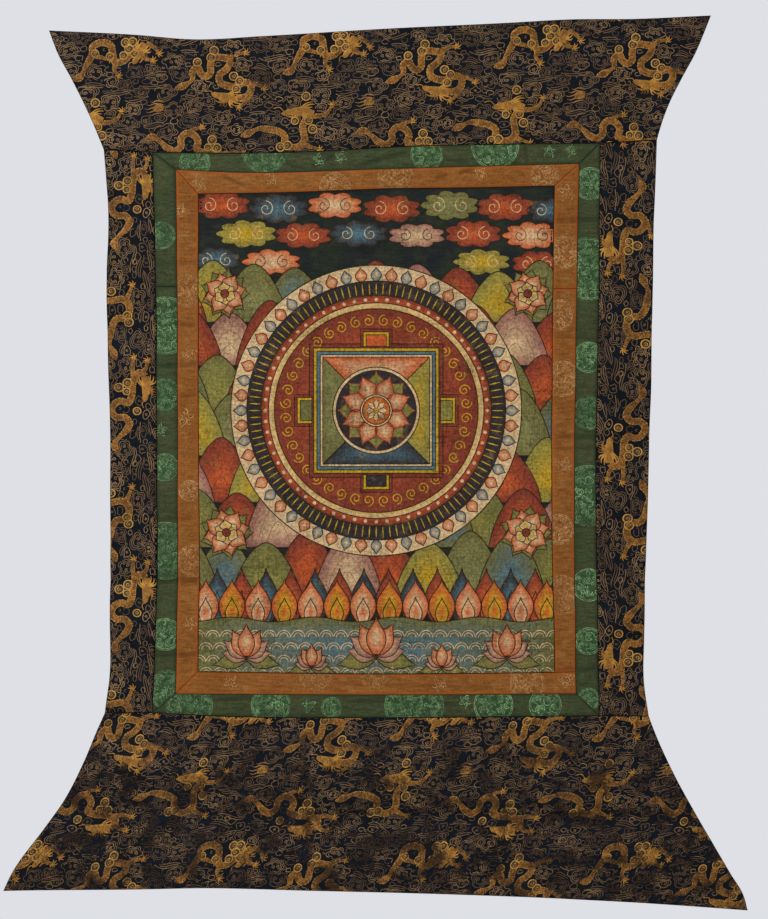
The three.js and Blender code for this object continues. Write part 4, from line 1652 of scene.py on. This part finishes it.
# %% Hills
MIDDLE_X = -4.5
HALF_WIDTH = 220.0
MANDALA = (MIDDLE_X, -458.0)
MANDALA_RADIUS = 174.0
HILL_ROWS = [  # foot, height, how far the row is shifted
    (-352, 74, 0.0), (-404, 78, 0.4), (-458, 76, 0.1), (-512, 80, 0.5), (-568, 78, 0.2),
    (-622, 80, 0.6), (-680, 78, 0.3),
]
PEAKS = 9
HILL_PIGMENTS = [
    ("ochre", "olive"), ("vermilion", "maroon"), ("sage", "moss"), ("cream", "mauve"),
    ("slate", "moss"), ("vermilion", "maroon"), ("olive", "moss"),
]
HILL_OVERLAP = 1.7
CRESTS = (0.35, 0.62, 0.84)
HILL_LEVEL = 4
HILL_LEAN = 6

pitch = 2 * HALF_WIDTH / PEAKS
for row, (foot, height, shift) in enumerate(HILL_ROWS):
    for peak in range(-1, PEAKS + 1):
        middle = MIDDLE_X - HALF_WIDTH + (peak + 0.5 + shift) * pitch
        inner, outer = HILL_PIGMENTS[(2 * peak + 3 * row) % len(HILL_PIGMENTS)]
        tall = height * (1.0 - 0.18 * ((peak * 5 + row * 3) % 4) / 3)
        level = HILL_LEVEL + 2 * (peak % 2)
        first = len(PAINTING.lifts)
        paint_field(hill(middle, foot, HILL_OVERLAP * pitch, tall), inner, outer, level)
        for share in CRESTS:
            crest = hill(middle, foot, HILL_OVERLAP * pitch * share, tall * (share + 0.04))
            crest = fine_loop(crest, FIELD_STEP)
            paint_line(crest[crest[:, 1] > foot], 0.4, outer, level)
        PAINTING.lean(first, foot, HILL_LEAN * PAINT_STEP / height)
        PAINTING.open_round(first, MANDALA, MANDALA_RADIUS - 4)
print("painted points with the hills:", PAINTING.count)

# %% Petals and water
PETAL_BANDS = [  # foot, petals across, reach, half width, shift, inner and outer pigments in turn
    (-714, 15, 68, 13.0, 0.0, ("vermilion", "maroon"), ("slate", "night")),
    (-714, 14, 54, 13.2, 0.5, ("cream", "vermilion"), ("ochre", "vermilion")),
]
WATER_TOP = -708.0
WATER_FOOT = -780.0
SHORE_POINTS = 60
WAVES, WAVE_ROWS = 13, 4
WAVE_PITCH, WAVE_RISE, WAVE_FOOT = 17.0, 15.0, -774.0
PETAL_LEVEL, WATER_LEVEL = 10, 20

for layer, (foot, count, reach, half, shift, *pairs) in enumerate(PETAL_BANDS):
    level = PETAL_LEVEL + 4 * layer
    for step in range(count + 1):
        x = MIDDLE_X - HALF_WIDTH + 2 * HALF_WIDTH * (step + shift) / count
        inner, outer = pairs[step % 2]
        paint_field(petal((x, foot), (x, foot + reach), half, 14), inner, outer, level)
        paint_field(petal((x, foot), (x, foot + 0.6 * reach), 0.5 * half), outer, inner, level + 1)

shore = np.linspace(-1.0, 1.0, SHORE_POINTS)
surface = WATER_TOP + 3.0 * np.sin(14.0 * shore)
water = np.concatenate(
    [
        np.stack([MIDDLE_X + HALF_WIDTH * shore, surface], axis=1),
        np.stack([MIDDLE_X + HALF_WIDTH * shore[::-1], np.full(SHORE_POINTS, WATER_FOOT)], axis=1),
    ]
)
pool = (MIDDLE_X, 0.5 * (WATER_TOP + WATER_FOOT))
paint_field(water, "slate", "moss", WATER_LEVEL, centre=pool)
for row in range(WAVE_ROWS):
    for wave in range(-WAVES, WAVES + 1):
        centre = (MIDDLE_X + WAVE_PITCH * (wave + 0.5 * (row % 2)), WAVE_FOOT + WAVE_RISE * row)
        for radius in (8.0, 5.0):
            crest = circle(centre, radius, 2.0)
            paint_line(crest[: len(crest) // 2 + 1], 0.45, "cream", WATER_LEVEL)
print("painted points in the landscape:", PAINTING.count)

# %% [markdown]
# ## Mandala
# A mandala is laid out with compass and ruler: rings of petals, rays and beads, then a palace
# square with a gate in each side, then a lotus in the middle. All of it turns about one centre, so
# `polar` places every part. It could go in the same mesh as the landscape, but two meshes are
# lighter to work with than one large one.

# %% Rings of the mandala
LANDSCAPE, PAINTING = PAINTING, Motif()
RINGS = [  # outer radius, inner radius, inner and outer pigment
    (MANDALA_RADIUS, 153, "cream", "cream"), (155, 137, "night", "night"),
    (138, 128, "vermilion", "maroon"), (129, 121, "ochre", "cream"),
    (122, 0, "vermilion", "maroon"),
]
RIM_PETALS, RAYS, BEADS, CURL_PAIRS = 56, 112, 64, 20
RING_LEVEL = 13


def all_round(count, shift=0.0):
    """Equal angles all round a centre, the first of them shifted by a share of a step."""
    return [2 * math.pi * (step + shift) / count for step in range(count)]


for step, (outer, inner, near, far) in enumerate(RINGS):
    hole = max(0, inner - 2) / outer
    paint_field(circle(MANDALA, outer), near, far, RING_LEVEL + step, centre=MANDALA, hole=hole)
for step, angle in enumerate(all_round(RIM_PETALS)):
    tip, half = ("vermilion", 6.0) if step % 2 else ("slate", 5.4)
    outline = petal(polar(MANDALA, 155, angle), polar(MANDALA, 172, angle), half)
    paint_field(outline, "cream", tip, RING_LEVEL + 1, rim=0.5)
for angle in all_round(RAYS):
    ray = polar(MANDALA, np.array([139, 145, 152]), angle)
    paint_line(ray, np.array([0.3, 0.8, 0.3]), "ochre", RING_LEVEL + 1.3)
for angle in all_round(BEADS):
    bead = circle(polar(MANDALA, 133, angle), 2.1, 1.2)
    paint_field(bead, "cream", "cream", RING_LEVEL + 3, rim=0)
for angle in all_round(CURL_PAIRS, 0.5):
    for side in (-1, 1):
        curl = spiral(polar(MANDALA, 108, angle + 0.07 * side), 7.0, 1.4 * side, angle)
        paint_line(curl, 0.6, "ochre", RING_LEVEL + 4.3)
print("painted points in the rings:", PAINTING.count)

# %% Palace
PALACE_LEVEL = 18
WALLS = [(80, "maroon"), (75, "ochre"), (71, "slate"), (67, "cream")]
WALL_INSIDE = 64
GATE_FOOT, GATE_TOP = 77, 79
QUARTERS = [("ochre", "olive"), ("cream", "vermilion"), ("sage", "moss"), ("slate", "night")]


def square(half):
    """Points round a square of the palace, four sides of equal steps."""
    steps = np.linspace(-half, half, max(6, int(half / 2.2)), endpoint=False)
    level = np.full(len(steps), half)
    sides = [(steps, -level), (level, steps), (-steps, level), (-level, -steps)]
    return np.concatenate([np.stack(side, axis=1) for side in sides]) + MANDALA


for step, (half, near) in enumerate(WALLS):
    paint_field(square(half), near, near, PALACE_LEVEL + step, centre=MANDALA, hole=0.75)
for step, (near, far) in enumerate(QUARTERS):
    angle = math.pi / 2 * step
    out = np.array([math.cos(angle), math.sin(angle)])
    side = np.array([-out[1], out[0]])
    for half, wall, rise in ((19, "maroon", 0), (15.5, "ochre", 1), (12, far, 2)):
        legs = MANDALA + np.linspace(GATE_FOOT, GATE_TOP + half, 6)[:, None] * out
        bar = np.linspace(1.0, -1.0, 8)[1:-1, None] * half * side
        outline = [legs + half * side, legs[-1] + bar, legs[::-1] - half * side, legs[0] - bar]
        paint_field(np.concatenate(outline), wall, wall, PALACE_LEVEL + rise, rim=0.5)
    corners = [MANDALA + WALL_INSIDE * (out - side), MANDALA + WALL_INSIDE * (out + side), MANDALA]
    middle = MANDALA + 0.7 * WALL_INSIDE * out
    paint_field(corners, near, far, PALACE_LEVEL + 4, rim=0.5, centre=middle)
print("painted points with the palace:", PAINTING.count)

# %% Lotus in the middle
CENTRE_LEVEL = 23
PETALS_ROUND = 8
CENTRE_PETALS = [(17, 47, 10, "moss", "olive"), (13, 44, 9.4, "cream", "vermilion")]
CENTRE_DISCS = [(19, "cream", "cream"), (16.5, "ochre", "vermilion")]
for step, (outer, near) in enumerate(((52, "cream"), (48, "night"))):
    paint_field(circle(MANDALA, outer), near, near, CENTRE_LEVEL + step, centre=MANDALA)
for layer, (root, tip, half, near, far) in enumerate(CENTRE_PETALS):
    for angle in all_round(PETALS_ROUND, 0.5 * layer):
        outline = petal(polar(MANDALA, root, angle), polar(MANDALA, tip, angle), half)
        paint_field(outline, near, far, CENTRE_LEVEL + 2 + layer, edge="maroon")
for step, (radius, near, far) in enumerate(CENTRE_DISCS):
    disc = circle(MANDALA, radius, 3.0)
    paint_field(disc, near, far, CENTRE_LEVEL + 4 + step, centre=MANDALA)
for angle in all_round(PETALS_ROUND):
    outline = petal(polar(MANDALA, 3, angle), polar(MANDALA, 14.5, angle), 2.8, 6)
    paint_field(outline, "cream", "cream", CENTRE_LEVEL + 6, rim=0.4, edge="maroon")
print("painted points with the mandala:", PAINTING.count)

# %% [markdown]
# ## Lotuses and blossoms
# Flowers fill what is left over. All are made of the one pointed petal: fanned upwards from a
# point for a lotus on the water, set round in rings for a blossom. The outer petals of a lotus are
# painted first, so that the upright one ends on top.

# %% Lotuses and blossoms
LOTUS_LEVEL = 21
LOTUS_FAN = (-1.45, 1.45, -0.98, 0.98, -0.5, 0.5, 0.0)
LOTUSES = [
    (-160, -752, 1.15), (-82, -764, 0.8), (MIDDLE_X, -750, 1.35), (74, -764, 0.8),
    (152, -752, 1.15),
]
BLOSSOMS = [(-186, -318, 1.0), (177, -318, 1.0), (-184, -604, 1.1), (175, -604, 1.1)]
BLOSSOM_RINGS = [  # petals, reach, half width, inner and outer pigment
    (9, 30, 9.0, "olive", "moss"), (8, 26, 8.5, "cream", "vermilion"),
    (6, 14, 5.5, "ochre", "cream"),
]

for x, z, size in LOTUSES:
    for side in (-1, 1):
        leaf = petal((x, z - 2), (x + side * 36 * size, z - 10 * size), 7.0 * size)
        paint_field(leaf, "olive", "moss", LOTUS_LEVEL)
    for step, spread in enumerate(LOTUS_FAN):
        angle = math.pi / 2 + spread
        reach = size * (34 - 5 * abs(spread))
        outline = petal((x, z), polar((x, z), reach, angle), 7.5 * size)
        outer = "vermilion" if abs(spread) < 0.7 else "mauve"
        paint_field(outline, "cream", outer, LOTUS_LEVEL + 1 + step // 2, rim=0.55)

for x, z, size in BLOSSOMS:
    for layer, (count, reach, half, near, far) in enumerate(BLOSSOM_RINGS):
        for step, angle in enumerate(all_round(count, 0.3 * layer)):
            tip = polar((x, z), reach * size, angle)
            outline = petal(polar((x, z), 3, angle), tip, half * size)
            level = RING_LEVEL + 1 + 2 * layer + step % 2
            paint_field(outline, near, far, level, rim=0.5)
    paint_field(circle((x, z), 5.0, 2.0), "maroon", "maroon", RING_LEVEL + 7, rim=0.5)
print("painted points with the flowers:", PAINTING.count)

# %% [markdown]
# ## Aged paint
# The paint is matt and has been rolled up many times. So it has fine cracks across and down, worn
# patches where the ground shows, and patches of grime.

# %% Finish of the paint, and the painting on its canvas


def aged(finish, colour):
    """Cracks, rubbed spots and grime over a colour."""
    across = finish.noise(7.0, detail=4.0, stretch=(9.0, 1.0, 0.55))
    down = finish.noise(6.0, detail=4.0, stretch=(0.5, 1.0, 7.0))
    lines = 1 - ((across - 0.5).size() * 26).math("MINIMUM", 1.0)
    drips = 1 - ((down - 0.5).size() * 30).math("MINIMUM", 1.0)
    patches = finish.noise(55.0, detail=3.0).rise(0.4, 0.7)
    rubbed = finish.noise(11.0, detail=5.0).rise(0.55, 0.75)
    grime = finish.noise(24.0, detail=4.0).rise(0.4, 0.75)
    colour = finish.blend(0.08 + 0.3 * rubbed, colour, rgb("93764a"))
    colour = finish.blend(grime * 0.22, colour, rgb("35291c"))
    grain = finish.noise(2.8, detail=3.0).rise(0.3, 0.7)
    colour = finish.blend(1.0, colour, 0.72 + 0.56 * grain, "MULTIPLY")
    cracks = (lines * 0.5 + drips * 0.5) * (0.35 + 0.65 * patches)
    return finish.blend(cracks, colour, rgb("1a1512")), cracks


def paint_finish():
    finish = Finish("mineral_paint", Roughness=0.9, Specular_IOR_Level=0.06)
    colour, cracks = aged(finish, finish.attribute("paint", "Color"))
    finish.paint(Base_Color=colour)
    finish.bump(weave(finish, 0.9) * 0.3 - cracks, 0.3, 0.4)
    return finish


PAINT_FINISH = paint_finish()
for name, motif in (("canvas_landscape", LANDSCAPE), ("canvas_mandala", PAINTING)):
    piece = laid(motif, PATCHES["painted_canvas"], as_drawn, name, PAINT_FINISH, "paint")

# %% [markdown]
# The cut size of each sheet is worked out from the longer of each pair of opposite sides. The
# pieces aren't rectangles, so the flat area is worked out too: it is the area inside the piece's
# outline.

# %% Sheet sizes
for name, sheet in SHEETS.items():
    patch = PATCHES[name]
    width, length = (size * MM for size in patch.flat_size())
    min(patch.area() * MM * MM, width * length)
print("declared sheets:", len(SHEETS))
